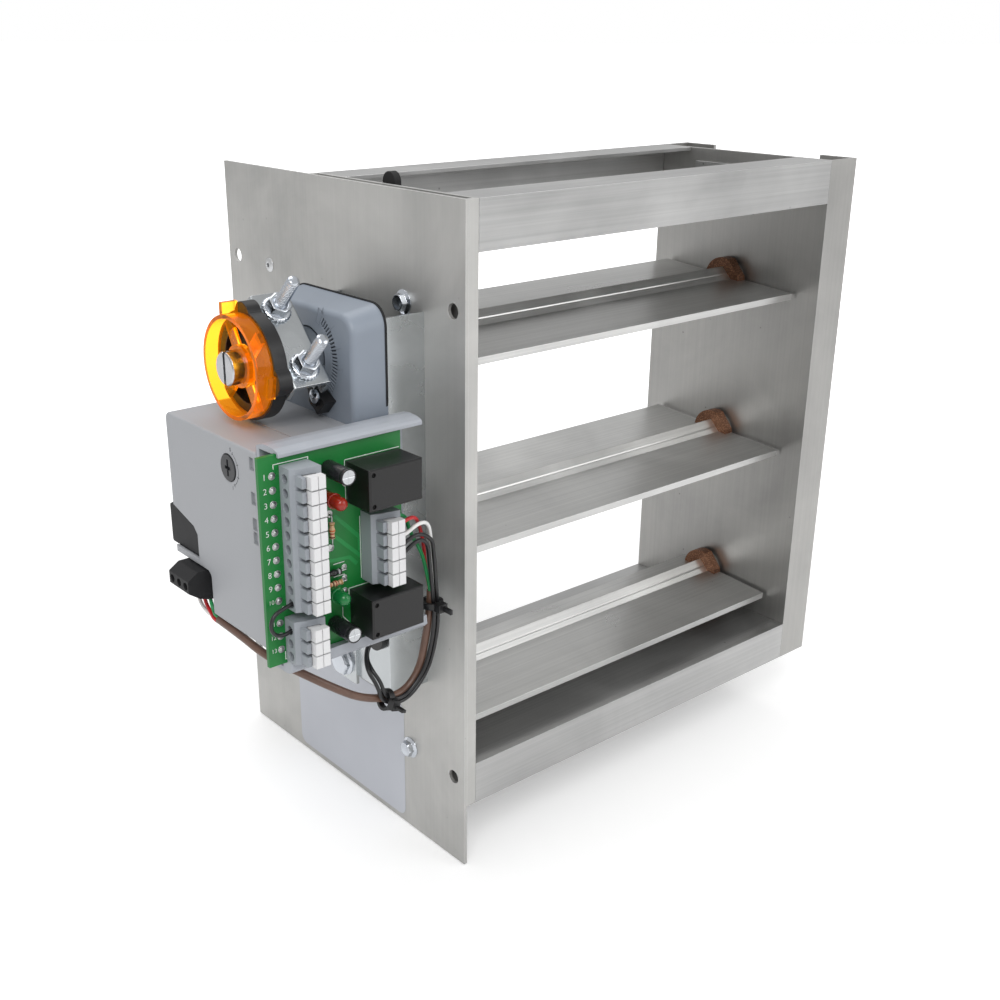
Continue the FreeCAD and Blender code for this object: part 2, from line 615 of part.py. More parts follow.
def button_pocket():
    """Room for the button behind the skin, as wide as the button and its travel need."""
    (y0, z0), (y1, z1), (y2, z2), (y3, z3), (y4, z4), (y5, z5) = BUTTON_OUTLINE
    g, run = PLAY, PLAY + BUTTON_TRAVEL
    outline = [(y0 + g, z5 - g), (y0 + g, z1 + g), (y2 + g, z2 + g), (y2 - run, z2 + g), (y3 - run, z3 + g),
               (y4 - run, z4 + g), (y5 - run, z5 - g)]
    return prism_x(outline, CASE_FRONT_X + SKIN_T, CASE_FRONT_X + SKIN_T + BUTTON_DEPTH + 2 * g)


def release_button():
    body = prism_x(BUTTON_OUTLINE, CASE_FRONT_X + SKIN_T + PLAY, CASE_FRONT_X + SKIN_T + PLAY + BUTTON_DEPTH)
    return body.makeFillet(1.0, edges_along(body, ALONG_X, lambda c: c.y > CASE_FAR + 2))


def direction_switch():
    x0 = CASE_FRONT_X - SWITCH_PROUD
    body = rod((x0, SWITCH_Y, SWITCH_Z), SWITCH_R, 2.0 + SWITCH_PROUD - PLAY)
    long, short, wide = SWITCH_R * 0.64, SWITCH_R * 0.4, SWITCH_R * 0.12
    slot = box(x0 - 1, x0 + 1.0, SWITCH_Y - wide, SWITCH_Y + wide, SWITCH_Z - long, SWITCH_Z + long)
    cross = box(x0 - 1, x0 + 1.0, SWITCH_Y - short, SWITCH_Y + short, SWITCH_Z - wide, SWITCH_Z + wide)
    return body.cut([slot, cross])


# Hub housing: drafted block above the casing, with the arc scale's comb round the shaft's sleeve
def housing_outline(inset, drop, x):
    y0, y1 = inset - HOUSING_HALF, HOUSING_HALF - inset
    top, r = HOUSING_TOP - drop, HOUSING_CORNER_R
    k = r * (1 - math.sqrt(0.5))
    low = V(x, y0, CASE_TOP)
    arc_a = Part.Arc(V(x, y0, top - r), V(x, y0 + k, top - k), V(x, y0 + r, top)).toShape()
    arc_b = Part.Arc(V(x, y1 - r, top), V(x, y1 - k, top - k), V(x, y1, top - r)).toShape()
    return Part.Wire([
        Part.makeLine(low, V(x, y0, top - r)), arc_a, Part.makeLine(V(x, y0 + r, top), V(x, y1 - r, top)),
        arc_b, Part.makeLine(V(x, y1, top - r), V(x, y1, CASE_TOP)), Part.makeLine(V(x, y1, CASE_TOP), low)])


def hub_housing():
    back = housing_outline(0, 0, BACK_X)
    front = housing_outline(HOUSING_DRAFT, HOUSING_TOP_DROP, HOUSING_FRONT_X)
    body = Part.makeLoft([back, front], True, True)
    rim = [e for e in body.Edges if abs(e.BoundBox.XMax - HOUSING_FRONT_X) < 0.01
           and e.CenterOfMass.z > CASE_TOP + 1]
    body = body.makeFillet(HOUSING_EDGE_R, rim)
    bore = rod((HOUSING_FRONT_X - 1, 0, 0), SLEEVE_R + SLEEVE_PLAY, HOUSING_DEPTH + 2)
    groove = box(HOUSING_FRONT_X - 1, HOUSING_FRONT_X + 0.5, -SCALE_OUT_R, -SCALE_IN_R, -0.35, 0.35)
    teeth = [turned(groove, 56 - i * 4.4, (0, 0, 0)) for i in range(SCALE_COUNT)]
    return body.cut([bore] + teeth)


# End stop: a screwed block that the sleeve's tooth rests on with the blades open
def end_stop():
    x0 = HOUSING_FRONT_X - STOP_T
    inner, top = SLEEVE_R + SLEEVE_PLAY + 0.7, -TOOTH_W / 2 - PLAY
    outline = [(-inner, top), (-inner - 5, top), (-inner - 11.3, top + 0.7), (-inner - 10.1, top - 6.9),
               (-inner - 3.9, top - 6.3), (-inner, top - 3.3)]
    block = prism_x(outline, x0, HOUSING_FRONT_X)
    screw = rod((x0 - 1.2, -inner - 6, top - 3), 2.4, 1.2)
    drive = box(x0 - 2, x0 - 0.5, -inner - 8, -inner - 4, top - 3.3, top - 2.7)
    return [turned(shape, -TOOTH_ANGLE, (0, 0, 0)) for shape in (block, screw.cut(drive))]


# Shaft clamp: folded bracket with toothed notches on the shaft, a U-bolt round it and two flange nuts
def clamp_bracket():
    x0, x1 = CLAMP_FRONT_X, CLAMP_FRONT_X + CLAMP_DEPTH
    t, z1 = CLAMP_T, CLAMP_SEAT
    outline = [(x0, z1 - CLAMP_SKIRT), (x0, z1), (x1, z1), (x1, z1 - CLAMP_SKIRT),
               (x1 - t, z1 - CLAMP_SKIRT), (x1 - t, z1 - t), (x0 + t, z1 - t), (x0 + t, z1 - CLAMP_SKIRT)]
    body = prism_y(outline, -CLAMP_HALF, CLAMP_HALF)
    body = body.makeFillet(1.4, edges_along(body, ALONG_Y, lambda c: c.z > z1 - 0.1))
    apex = SHAFT_R * math.sqrt(2)
    notch = prism_x([(0, apex + SNUG_FIT), (-apex - 4, SNUG_FIT - 4), (apex + 4, SNUG_FIT - 4)], x0 - 1, x1 + 1)
    corners = [box(x0 - 1, x1 + 1, s * CLAMP_HALF - 7, s * CLAMP_HALF + 7, -4, z1 - 8) for s in (-1, 1)]
    holes = [rod((x0 + STUD_FROM_FRONT, s * STUD_SPACING / 2, 0), STUD_R + 0.2, z1 + 5, ALONG_Z) for s in (-1, 1)]
    return turned(body.cut([notch] + corners + holes), CLAMP_ANGLE, (0, 0, 0))


def clamp_sleeve():
    """The actuator's turning sleeve, with the tooth that meets the end stop."""
    x1 = BACK_X + BRACKET_T
    x0 = CLAMP_FRONT_X + CLAMP_DEPTH
    barrel = rod((x0, 0, 0), SLEEVE_R, x1 - x0)
    tooth = box(x0, HOUSING_FRONT_X - 0.8, -TOOTH_REACH, -SLEEVE_R + 1, -TOOTH_W / 2, TOOTH_W / 2)
    body = joined(barrel, turned(tooth, -TOOTH_ANGLE, (0, 0, 0)))
    return body.cut(rod((x0 - 1, 0, 0), SHAFT_R, x1 - x0 + 2))


def clamp_bolt():
    x = CLAMP_FRONT_X + STUD_FROM_FRONT
    half = STUD_SPACING / 2
    centre = -SHAFT_R + half - STUD_R
    path = Part.Wire([
        Part.makeLine(V(x, -half, STUD_REACH), V(x, -half, centre)),
        Part.Arc(V(x, -half, centre), V(x, 0, centre - half), V(x, half, centre)).toShape(),
        Part.makeLine(V(x, half, centre), V(x, half, STUD_REACH))])
    start = Part.Wire(Part.makeCircle(STUD_R, V(x, -half, STUD_REACH), ALONG_Z))
    bolt = path.makePipeShell([start], True, False)
    nuts = []
    for side in (-1, 1):
        base = (x, side * half, CLAMP_SEAT)
        flange = rod(base, NUT_FLANGE_R, NUT_FLANGE_T, ALONG_Z)
        nut = joined(flange, hexagon(base, NUT_AF, NUT_FLANGE_T + NUT_H, ALONG_Z))
        nuts.append(nut.cut(rod(base, STUD_R, NUT_H * 2, ALONG_Z)))
    return [turned(shape, CLAMP_ANGLE, (0, 0, 0)) for shape in [bolt] + nuts]


# Index ring and position dial, pressed on the shaft ahead of the clamp
def index_ring():
    x1 = CLAMP_FRONT_X
    x0 = x1 - INDEX_T
    half = INDEX_LOBE_HALF
    lobe = joined(box(x0, x1, half - INDEX_LOBE_R, half - INDEX_R, -half, half),
                  rod((x0, half - INDEX_LOBE_R, 0), half, INDEX_T))
    body = joined(rod((x0, 0, 0), INDEX_R, INDEX_T), *[turned(lobe, -a, (0, 0, 0)) for a in INDEX_LOBES])
    dish = rod((x0 - 1, 0, 0), INDEX_R - 6.0, INDEX_T - 0.5)
    return body.cut([dish, rod((x0 - 1, 0, 0), SHAFT_R, INDEX_T + 2)])


def position_dial():
    x0, x1 = DIAL_FRONT_X, CLAMP_FRONT_X - INDEX_T
    ring = rod((x0, 0, 0), DIAL_R, x1 - x0).cut(rod((x0 - 1, 0, 0), DIAL_R - DIAL_WALL, x1 - x0 + 2))
    collar = rod((x1 - 3.0, 0, 0), SHAFT_R + 1.6, 3.0)
    spokes = [turned(box(x1 - 1.4, x1, 0.8 - DIAL_R, 0, -2.4, 2.4), -a, (0, 0, 0)) for a in (45, 120, 225, 300)]
    tab = box(x0, x1, 3.0, 5.0, DIAL_R - 1.9, DIAL_TAB_R)
    pip = box(x1 - 3.0, x1, -DIAL_R - 1.6, 0.8 - DIAL_R, -4.2, 4.2)
    body = joined(ring, collar, tab, turned(pip, 12, (0, 0, 0)), *spokes)
    return body.cut(rod((x0 - 1, 0, 0), SHAFT_R, x1 - x0 + 2))


# Snap track: extruded plastic channel on the casing's near side, its curled lips hold the board's edges
def snap_track():
    back, tip, t = CASE_NEAR, CASE_NEAR - TRACK_DEPTH, TRACK_T
    z0, z1 = TRACK_BOTTOM, TRACK_TOP
    upper, lower = BOARD_TOP - TRACK_HOLD, BOARD_BOTTOM + TRACK_HOLD
    seat, rear = BOARD_BACK_Y + 0.1, BOARD_BACK_Y + 1.3
    face = BOARD_FACE_Y - 0.1
    lip = [(back, z0), (back, z1 - 1.8), (back - 3.0, z1 - 0.5), (back - 7.0, z1), (tip + 2.6, z1 - 0.3),
           (tip + 0.2, z1 - 0.9), (tip - 0.6, z1 - 1.7), (tip - 0.6, upper), (face, upper), (face, BOARD_TOP + 0.1),
           (seat, BOARD_TOP + 0.1), (seat, upper), (rear, upper), (rear, z1 - t - 0.3), (back - t, z1 - t - 0.6),
           (back - t, z0 + t), (rear, z0 + t), (rear, lower), (seat, lower), (seat, BOARD_BOTTOM - 0.1),
           (face, BOARD_BOTTOM - 0.1), (face, lower), (tip - 2.2, lower), (tip - 2.6, z0 + 2.2),
           (tip - 0.8, z0 + 0.5), (tip + 2.0, z0)]
    return prism_x(lip, TRACK_LEFT, TRACK_LEFT + TRACK_LENGTH)


def circuit_board():
    return box(BOARD_LEFT, BOARD_LEFT + BOARD_WIDTH, BOARD_FACE_Y, BOARD_BACK_Y, BOARD_BOTTOM, BOARD_TOP)


def on_board(offset):
    """(x, z) of a point given by its distances from the board's left and top edges."""
    return BOARD_LEFT + offset[0], BOARD_TOP - offset[1]


# Terminal strips: spring-clamp poles with wire holes in one wall and a push lever over each pole
def strip_length(poles):
    return poles * PITCH + STRIP_END


def pole_z(name, i):
    return on_board(STRIP_OFFSETS[name])[1] - STRIP_END - PITCH * (i + 0.5)


def terminal_strip(name):
    """The five-pole strip has its wire holes in the +X wall, the others in the -X wall."""
    x0, top = on_board(STRIP_OFFSETS[name])
    poles, y = POLE_COUNTS[name], BOARD_FACE_Y
    x1, lever_x = x0 + STRIP_W, x0 + LEVER_IN
    body = prism_z([(x0, y), (x1, y), (x1, y - STRIP_FRONT_H - 1.2), (lever_x, y - STRIP_FRONT_H),
                    (x0, y - STRIP_WALL_H)], top - strip_length(poles), top)
    hole_x = x1 - 4 if name == "five" else x0 - 1
    cuts, guards = [], []
    for i in range(poles):
        z, half = pole_z(name, i), PITCH / 3
        cuts.append(rod((hole_x, y - WIRE_HEIGHT, z), WIRE_HOLE_R, 5.0))
        cuts.append(box(lever_x + 0.4, lever_x + LEVER_W - 0.4, y - STRIP_FRONT_H - 3, y - STRIP_FRONT_H + 3.2,
                        z - half, z + half))
        guards.append(box(lever_x - GUARD_W - PLAY, lever_x - PLAY, y - STRIP_FRONT_H - GUARD_H, y - STRIP_WALL_H,
                          z - GUARD_LENGTH / 2, z + GUARD_LENGTH / 2))
    return joined(body, *guards).cut(cuts)


def push_lever(name, i):
    z, x0 = pole_z(name, i), on_board(STRIP_OFFSETS[name])[0] + LEVER_IN
    half, stem = (PITCH - LEVER_GAP) / 2, PITCH / 3 - STEM_PLAY
    tip, seat = BOARD_FACE_Y - LEVER_PROUD, BOARD_FACE_Y - STRIP_FRONT_H - 1.2 - LEVER_TRAVEL - PLAY
    side = 0.4 + STEM_PLAY
    head = box(x0, x0 + LEVER_W, tip, seat, z - half, z + half)
    leg = box(x0 + side, x0 + LEVER_W - side, seat, BOARD_FACE_Y - STRIP_FRONT_H + 1.2, z - stem, z + stem)
    middle = x0 + LEVER_W / 2
    groove = box(middle - 0.15, middle + 0.15, tip - 1, tip + 0.4, z - half, z + half)
    return joined(head, leg).cut(groove)


# Board parts: relays, capacitors and lamps
def relay(offset):
    x, z = on_board(offset)
    w, h, d = RELAY_SIZE
    tip = BOARD_FACE_Y - h
    body = box(x, x + w, tip, BOARD_FACE_Y, z, z + d)
    body = body.makeChamfer(0.6, [e for e in body.Edges if abs(e.BoundBox.YMax - tip) < 0.01])
    return body.cut([rod((x + 1.8, tip - 1, z + dz), 0.9, 2.0, ALONG_Y) for dz in (1.9, d - 1.9)])


def capacitor(offset):
    x, z = on_board(offset)
    body = Part.makeCylinder(CAPACITOR_R, CAPACITOR_H, V(x, BOARD_FACE_Y, z), V(0, -1, 0))
    neck = V(x, BOARD_FACE_Y - CAPACITOR_H * 0.86, z)
    return body.cut(Part.makeTorus(CAPACITOR_R * 1.11, CAPACITOR_R * 0.175, neck, ALONG_Y))


def lamp(offset):
    x, z = on_board(offset)
    y = BOARD_FACE_Y
    body = Part.makeCylinder(LAMP_R, LAMP_H, V(x, y, z), V(0, -1, 0))
    dome = Part.makeSphere(LAMP_R, V(x, y - LAMP_H, z))
    rim = Part.makeCylinder(LAMP_R * 1.16, LAMP_R * 0.45, V(x, y - LAMP_H * 0.3, z), V(0, -1, 0))
    return joined(body, dome, rim)


# Terminal plug in the casing's open corner
PLUG_OUTLINE = [(CASE_FRONT_X + x, CASE_BOTTOM + z) for x, z in
                [(-8.0, 9.3), (-8.0, 14.4), (-3.6, 17.3), (RECESS_DEPTH, 17.3), (RECESS_DEPTH, 5.7), (1.0, 4.5),
                 (-3.5, 6.1)]]


def terminal_plug():
    body = prism_y(PLUG_OUTLINE, PLUG_NEAR, PLUG_FAR)
    z = (PLUG_OUTLINE[0][1] + PLUG_OUTLINE[1][1]) / 2
    return body.cut([rod((CASE_FRONT_X - 9, plug_pole_y(i), z), PITCH * 0.31, 6) for i in range(3)])


def plug_pole_y(i):
    return PLUG_FAR - PITCH * (i + 0.5)


# Leads: straight runs joined by tangent arcs
def route(points, radius, node):
    """A round tube along points, each corner rounded to 0.45 of its shorter run; prints the radii."""
    pts = [V(*p) for p in points]
    edges, radii, at = [], [], pts[0]
    for a, b, c in zip(pts, pts[1:], pts[2:]):
        u, w = (a - b), (c - b)
        run = min(u.Length, w.Length)
        u, w = u / u.Length, w / w.Length
        turn = math.pi - math.acos(max(-1, min(1, u.dot(w))))
        r = 0.45 * run / math.tan(turn / 2)
        cut = 0.45 * run
        p, q = b + u * cut, b + w * cut
        middle = b + (u + w) / (u + w).Length * (r / math.cos(turn / 2) - r)
        edges.append(Part.LineSegment(at, p).toShape())
        edges.append(Part.Arc(p, middle, q).toShape())
        radii.append(round(r, 1))
        at = q
    edges.append(Part.LineSegment(at, pts[-1]).toShape())
    wire = Part.Wire(edges)
    start = Part.Wire(Part.makeCircle(radius, pts[0], pts[1] - pts[0]))
    tube = wire.makePipeShell([start], True, True)
    ratio = tube.Volume / (math.pi * radius ** 2 * wire.Length)
    print(node, "length", round(wire.Length, 1), "radii", radii, "volume ratio", round(ratio, 3))
    return tube


def shifted(points, dx=0, dy=0, dz=0):
    return [(x + dx, y + dy, z + dz) for x, y, z in points]


# Route points count from three places: x from the casing's front, y from its near side, z from its bottom
LEAD_ORIGIN = dict(dx=CASE_FRONT_X, dy=CASE_NEAR, dz=CASE_BOTTOM)
CABLE_Y = -11.4
PAIR_Y = CABLE_Y - CABLE_R - SENSOR_R - 0.15
CABLE_ROUTE = shifted([(1.3, 38.1, -2.3), (1.1, 21.6, -2.5), (2.0, 5.6, -5.0), (8.5, -4.0, -9.4),
                       (21.0, CABLE_Y + 0.6, -18.6), (34.5, CABLE_Y, -28.2), (51.5, CABLE_Y, -33.1),
                       (61.5, CABLE_Y, -25.8), (65.3, CABLE_Y, -11.3), (67.3, CABLE_Y, 0.8),
                       (67.9, CABLE_Y, 8.7)], **LEAD_ORIGIN)
PAIR_ROUTE = shifted([(66.8, PAIR_Y - 0.9, 13.0), (68.2, PAIR_Y, 5.6), (68.6, PAIR_Y, -3.0),
                      (67.3, PAIR_Y, -12.5), (63.4, PAIR_Y, -24.4), (53.0, PAIR_Y, -33.9),
                      (42.4, PAIR_Y, -30.8), (40.8, PAIR_Y + 0.7, -23.0), (38.4, PAIR_Y + 4.0, -17.2),
                      (42.0, PAIR_Y + 11.0, -14.6), (50.5, PAIR_Y + 20.0, -15.6)], **LEAD_ORIGIN)
PAIR_END = [(BACK_X - 4.0, *GROMMET), (BACK_X + 2.5, *GROMMET)]
JUMPER_ROUTE = [(TRACK_LEFT + 2.0, BOARD_FACE_Y - WIRE_HEIGHT, pole_z("ten", 9)),
                *shifted([(-1.8, -16.5, 23.6), (-6.3, -16.8, 22.3), (-8.0, -16.9, 18.3), (-6.3, -16.7, 14.4),
                          (-1.8, -16.5, 12.9)], **LEAD_ORIGIN),
                (TRACK_LEFT + 1.2, BOARD_FACE_Y - WIRE_HEIGHT, pole_z("three", 0))]


def sensor_wire(side):
    """One black wire of the pair, from its pole round the outside (1) or the inside (-1) to the grommet."""
    entry = on_board(STRIP_OFFSETS["five"])[0] + STRIP_W
    z, y = pole_z("five", 3 if side > 0 else 4), BOARD_FACE_Y - WIRE_HEIGHT
    rise = (3.6, 5.7, 1.4) if side > 0 else (5.2, 8.4, 5.4)
    start = [(entry - 1.0, y, z), (entry + 6.0, y - 0.2, z + rise[0]), (entry + 12.8, y, z + rise[1]),
             (entry + 18.4 + side, y + 0.4, z + rise[2]), (entry + 19.2 + side, y + 0.6, z - 3.5)]
    middle = []
    for before, here, after in zip(start[-1:] + PAIR_ROUTE, PAIR_ROUTE, PAIR_ROUTE[1:] + PAIR_END[:1]):
        dx, dz = after[0] - before[0], after[2] - before[2]
        k = side * SENSOR_GAP / 2 / math.hypot(dx, dz)
        middle.append((here[0] - dz * k, here[1], here[2] + dx * k))
    return start + middle + [(x, y, z + side * SENSOR_GAP / 2) for x, y, z in PAIR_END]


def bundle(point, i, plane):
    """Where core i leaves the cable's cut jacket: three cores in a ring about a point."""
    a, r = math.radians(90 + 120 * i), CORE_R * 1.2
    u, w = r * math.cos(a), r * math.sin(a)
    x, y, z = point
    return (x + u, y, z + w) if plane == "y" else (x + u, y + w, z)


def board_core(i):
    """One core from the cable's jacket up and over into a pole of the five-pole strip."""
    entry = on_board(STRIP_OFFSETS["five"])[0] + STRIP_W
    z, y = pole_z("five", i), BOARD_FACE_Y - WIRE_HEIGHT
    x, _, low = start = bundle(CABLE_ROUTE[-1], [1, 0, 2][i], "z")
    start = (start[0], start[1], low + 0.3)
    climbs = [[(-2.0, -0.6, 9.0), (-4.6, -0.8, 18.5), (-9.6, -0.2, 27.0)],
              [(-1.6, 0.3, 9.0), (-3.0, -0.5, 21.0), (-6.0, -1.3, 30.0)],
              [(-0.6, -0.4, 10.0), (-1.7, -1.2, 22.0), (-4.0, -2.6, 30.4)]][i]
    tops = [[(7.8, 2.0, -0.6)], [(11.0, 0.6, 2.3), (5.0, -0.2, 1.6)], [(13.0, 0.8, 4.0), (6.5, 0, 1.3)]][i]
    return ([start] + [(x + dx, start[1] + dy, low + dz) for dx, dy, dz in climbs]
            + [(entry + dx, y + dy, z + dz) for dx, dy, dz in tops] + [(entry - 1.0, y, z)])


def plug_core(i):
    """One core from the plug down to the cable's cut jacket under the casing."""
    y, x, low = plug_pole_y(i), CASE_FRONT_X + 2.2, CASE_BOTTOM + 4.4
    end = bundle(CABLE_ROUTE[0], 2 - i if i != 1 else 1, "y")
    drop = [(5.2, 8.0), (3.7, 6.9), (2.8, 5.6)][i]
    return [(x, y, low), (x, y - 0.7, low - drop[0]), (x - 0.2, (y + end[1]) / 2 + 1.0, low - drop[1]),
            (end[0], end[1] + 3.0, end[2]), (end[0], end[1] + 0.15, end[2])]


def cable_tie(point, axis, r):
    """A zip tie: band round the bundle and its square head."""
    band = Part.makeCylinder(r + TIE_STRAP, TIE_W, V(0, 0, -TIE_W / 2), ALONG_Z)
    head = Part.makeBox(4.2, 3.4, 3.4, V(-2.1, -r - 3.8, -1.7))
    tail = Part.makeBox(1.1, 5.0, 2.0, V(-0.3, -r - 8.6, -1.0))
    tie = joined(band, head, tail).cut(Part.makeCylinder(r, 9, V(0, 0, -4.5), ALONG_Z))
    tie.Placement = FreeCAD.Placement(V(*point), FreeCAD.Rotation(ALONG_Z, V(*axis)))
    return tie


def grommet(y, z):
    """A rubber grommet in the bracket's wall, its inner lip standing just inside the sheet."""
    front = rod((BACK_X - 2.2, y, z), LEAD_HOLE_R * 1.2, 2.2)
    neck = rod((BACK_X, y, z), LEAD_HOLE_R - 0.1, BRACKET_T)
    lip = rod((BACK_X + BRACKET_T, y, z), LEAD_HOLE_R * 1.2, 1.2)
    bore = rod((BACK_X - 4, y, z), SENSOR_GAP / 2 + SENSOR_R + 0.15, 9)
    return joined(front, neck, lip).cut(bore)


def cable_fixings():
    x, y, z = (a + (b - a) * 0.58 for a, b in zip(CABLE_ROUTE[5], CABLE_ROUTE[6]))
    low = (x, (CABLE_Y + PAIR_Y) / 2 + CASE_NEAR + 0.25, z - 0.3)
    (x0, _, z0), (x1, _, z1) = CABLE_ROUTE[5], CABLE_ROUTE[6]
    x, y, z = CABLE_ROUTE[-2]
    high = (x + 0.5, low[1], z + 2.6)
    return [cable_tie(low, (x1 - x0, 0, z1 - z0), TIE_RING_R), cable_tie(high, (0, 0, 1), TIE_RING_R),
            grommet(*GROMMET)]


def build():
    os.makedirs("parts", exist_ok=True)
    save("mounting_plate", mounting_plate())
    save("drive_side_frame", drive_side_frame())
    save("top_channel", cross_channel(CEILING, TOP_Z))
    save("bottom_channel", cross_channel(FLOOR, BOTTOM_Z))
    save("far_side_channel", far_side_channel())
    save("frame_rivets", *frame_rivets())
    bolt = hex_screw(BACK_X - STRAP_T, BACK_X + BRACKET_T + 2.5, *STRAP_BOLT, STRAP_BOLT_AF, STRAP_BOLT_FLANGE_R)
    save("hex_screws", *[hex_screw(PLATE_OUT_X, WEB_IN_X + SCREW_TIP, y, z) for y, z in PLATE_SCREWS],
         *hung(bolt))
    save("web_bushes", *[web_bush(i, side) for i in range(BLADE_COUNT) for side in (-1, 1)])
    for i, name in enumerate(NAMES):
        save(f"blade_{name}", blade(i))
        save(f"end_hubs_{name}", *end_hubs(i))
        save(f"crank_{name}", *crank(i))
    save("drive_shaft", *hung(drive_shaft()))
    save("tie_bar", tie_bar())
    save("standoff_bracket", *hung(standoff_bracket()))
    save("rotation_strap", *hung(rotation_strap()))
    save("actuator_casing", *hung(actuator_casing()))
    save("hub_housing", *hung(hub_housing()))
    save("end_stop", *hung(*end_stop()))
    save("release_button", *hung(release_button()))
    save("direction_switch", *hung(direction_switch()))
    save("terminal_plug", *hung(terminal_plug()))
    save("clamp_bracket", *hung(clamp_bracket(), clamp_sleeve()))
    save("clamp_bolt", *hung(*clamp_bolt()))
    save("index_ring", *hung(index_ring()))
    save("position_dial", *hung(position_dial()))
    save("snap_track", *hung(snap_track()))
    save("circuit_board", *hung(circuit_board()))
    save("terminal_strips", *hung(*[terminal_strip(name) for name in POLE_COUNTS]))
    for name, poles in POLE_COUNTS.items():
        for i in range(poles):
            save(f"lever_{name}_{i + 1}", *hung(push_lever(name, i)))
    save("relays", *hung(*[relay(offset) for offset in RELAY_OFFSETS]))
    save("capacitors", *hung(*[capacitor(offset) for offset in CAPACITOR_OFFSETS]))
    save("indicator_lamps", *hung(*[lamp(offset) for offset in LAMP_OFFSETS]))
    save("signal_cable", *hung(route(CABLE_ROUTE, CABLE_R, "signal_cable")))
    save("sensor_lead", *hung(*[route(sensor_wire(side), SENSOR_R, f"sensor_wire_{side}") for side in (1, -1)]))
    save("jumper_wire", *hung(route(JUMPER_ROUTE, CORE_R, "jumper_wire")))
    save("lead_cores", *hung(*[route(board_core(i), CORE_R, f"board_core_{i}") for i in range(3)],
                             *[route(plug_core(i), CORE_R, f"plug_core_{i}") for i in range(3)]))
    save("cable_fixings", *hung(*cable_fixings()))


build()
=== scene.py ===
import math

import bmesh
import bpy
import numpy as np
from mathutils import Matrix, Vector


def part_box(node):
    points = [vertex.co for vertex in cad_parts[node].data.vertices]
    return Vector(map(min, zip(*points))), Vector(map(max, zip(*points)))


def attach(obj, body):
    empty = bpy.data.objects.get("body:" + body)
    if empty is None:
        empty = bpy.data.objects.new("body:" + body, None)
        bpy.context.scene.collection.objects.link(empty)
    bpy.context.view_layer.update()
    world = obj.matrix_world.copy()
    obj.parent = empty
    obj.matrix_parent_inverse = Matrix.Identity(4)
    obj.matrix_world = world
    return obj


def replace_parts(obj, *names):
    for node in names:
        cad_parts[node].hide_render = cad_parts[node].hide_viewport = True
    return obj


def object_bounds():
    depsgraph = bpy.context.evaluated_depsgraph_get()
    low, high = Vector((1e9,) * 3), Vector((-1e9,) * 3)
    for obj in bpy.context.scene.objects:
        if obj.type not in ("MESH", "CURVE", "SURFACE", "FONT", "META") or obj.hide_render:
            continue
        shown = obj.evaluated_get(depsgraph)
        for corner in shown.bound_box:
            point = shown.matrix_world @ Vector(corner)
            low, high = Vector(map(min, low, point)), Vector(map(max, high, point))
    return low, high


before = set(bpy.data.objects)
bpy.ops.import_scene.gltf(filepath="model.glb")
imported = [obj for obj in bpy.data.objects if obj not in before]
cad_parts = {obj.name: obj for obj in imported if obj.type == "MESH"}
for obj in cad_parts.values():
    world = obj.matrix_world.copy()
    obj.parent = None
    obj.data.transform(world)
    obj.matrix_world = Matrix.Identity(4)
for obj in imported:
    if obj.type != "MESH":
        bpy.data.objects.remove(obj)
CAD_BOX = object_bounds()
MM = 0.001


# Camera: solved from the corners of the plate and the channels in the photograph
# It stands to the left, in front and above; its small shift is the photograph's own framing
def in_scene(name, data):
    """An object that holds the data under this name, put in the scene."""
    made = bpy.data.objects.new(name, data)
    bpy.context.scene.collection.objects.link(made)
    return made


EYE = (-0.2898, -0.4305, 0.1975)
LENS, SENSOR = 45.5, 36
SHIFT_X, SHIFT_Y = 0.032, 0.0239
right = Vector((0.768, -0.640, 0.003))
ahead = Vector((0.596, 0.713, -0.370)).normalized()
right = (right - ahead * right.dot(ahead)).normalized()
up = right.cross(ahead)
lens = bpy.data.cameras.new("camera")
lens.sensor_width, lens.lens = SENSOR, LENS
lens.shift_x, lens.shift_y = SHIFT_X, SHIFT_Y
lens.clip_start, lens.clip_end = 0.01, 20
camera = in_scene("camera", lens)
camera.matrix_world = Matrix.Translation(EYE) @ Matrix((right, up, -ahead)).transposed().to_4x4()
bpy.context.scene.camera = camera


# Studio: a pale floor under the plate's lower edge, a white surround and three soft lamps
# Both show white to the eye and through the dial; metal sees a dimmer surround and a faint glow of the floor
def put(tree, kind, inputs=None, **settings):
    """A shader node of a kind. Inputs are values, or other nodes' sockets, by name or by number."""
    node = tree.nodes.new(kind)
    for key, value in settings.items():
        setattr(node, key, value)
    for key, value in (inputs or {}).items():
        if isinstance(value, bpy.types.NodeSocket):
            tree.links.new(value, node.inputs[key])
        else:
            node.inputs[key].default_value = value
    return node


def math_node(tree, operation, a, b, clamp=False):
    """The result of one sum of two values, kept between 0 and 1 where clamp is set."""
    return put(tree, "ShaderNodeMath", {0: a, 1: b}, operation=operation, use_clamp=clamp).outputs[0]


def object_place(tree):
    """A surface point's place in metres, in its object's own coordinates."""
    return put(tree, "ShaderNodeTexCoord").outputs["Object"]


def seen_rays(tree):
    """The Light Path node, and 1 for rays that the eye sends straight or through clear plastic."""
    rays = put(tree, "ShaderNodeLightPath")
    lit = rays.outputs
    return rays, math_node(tree, "ADD", lit["Is Camera Ray"], lit["Is Transmission Ray"], True)


def srgb(r, g, b):
    """A colour of 0 to 255 as it is seen on screen, as the shader's linear value."""
    parts = [c / 255 for c in (r, g, b)]
    return tuple(c / 12.92 if c < 0.04045 else ((c + 0.055) / 1.055) ** 2.4 for c in parts) + (1.0,)


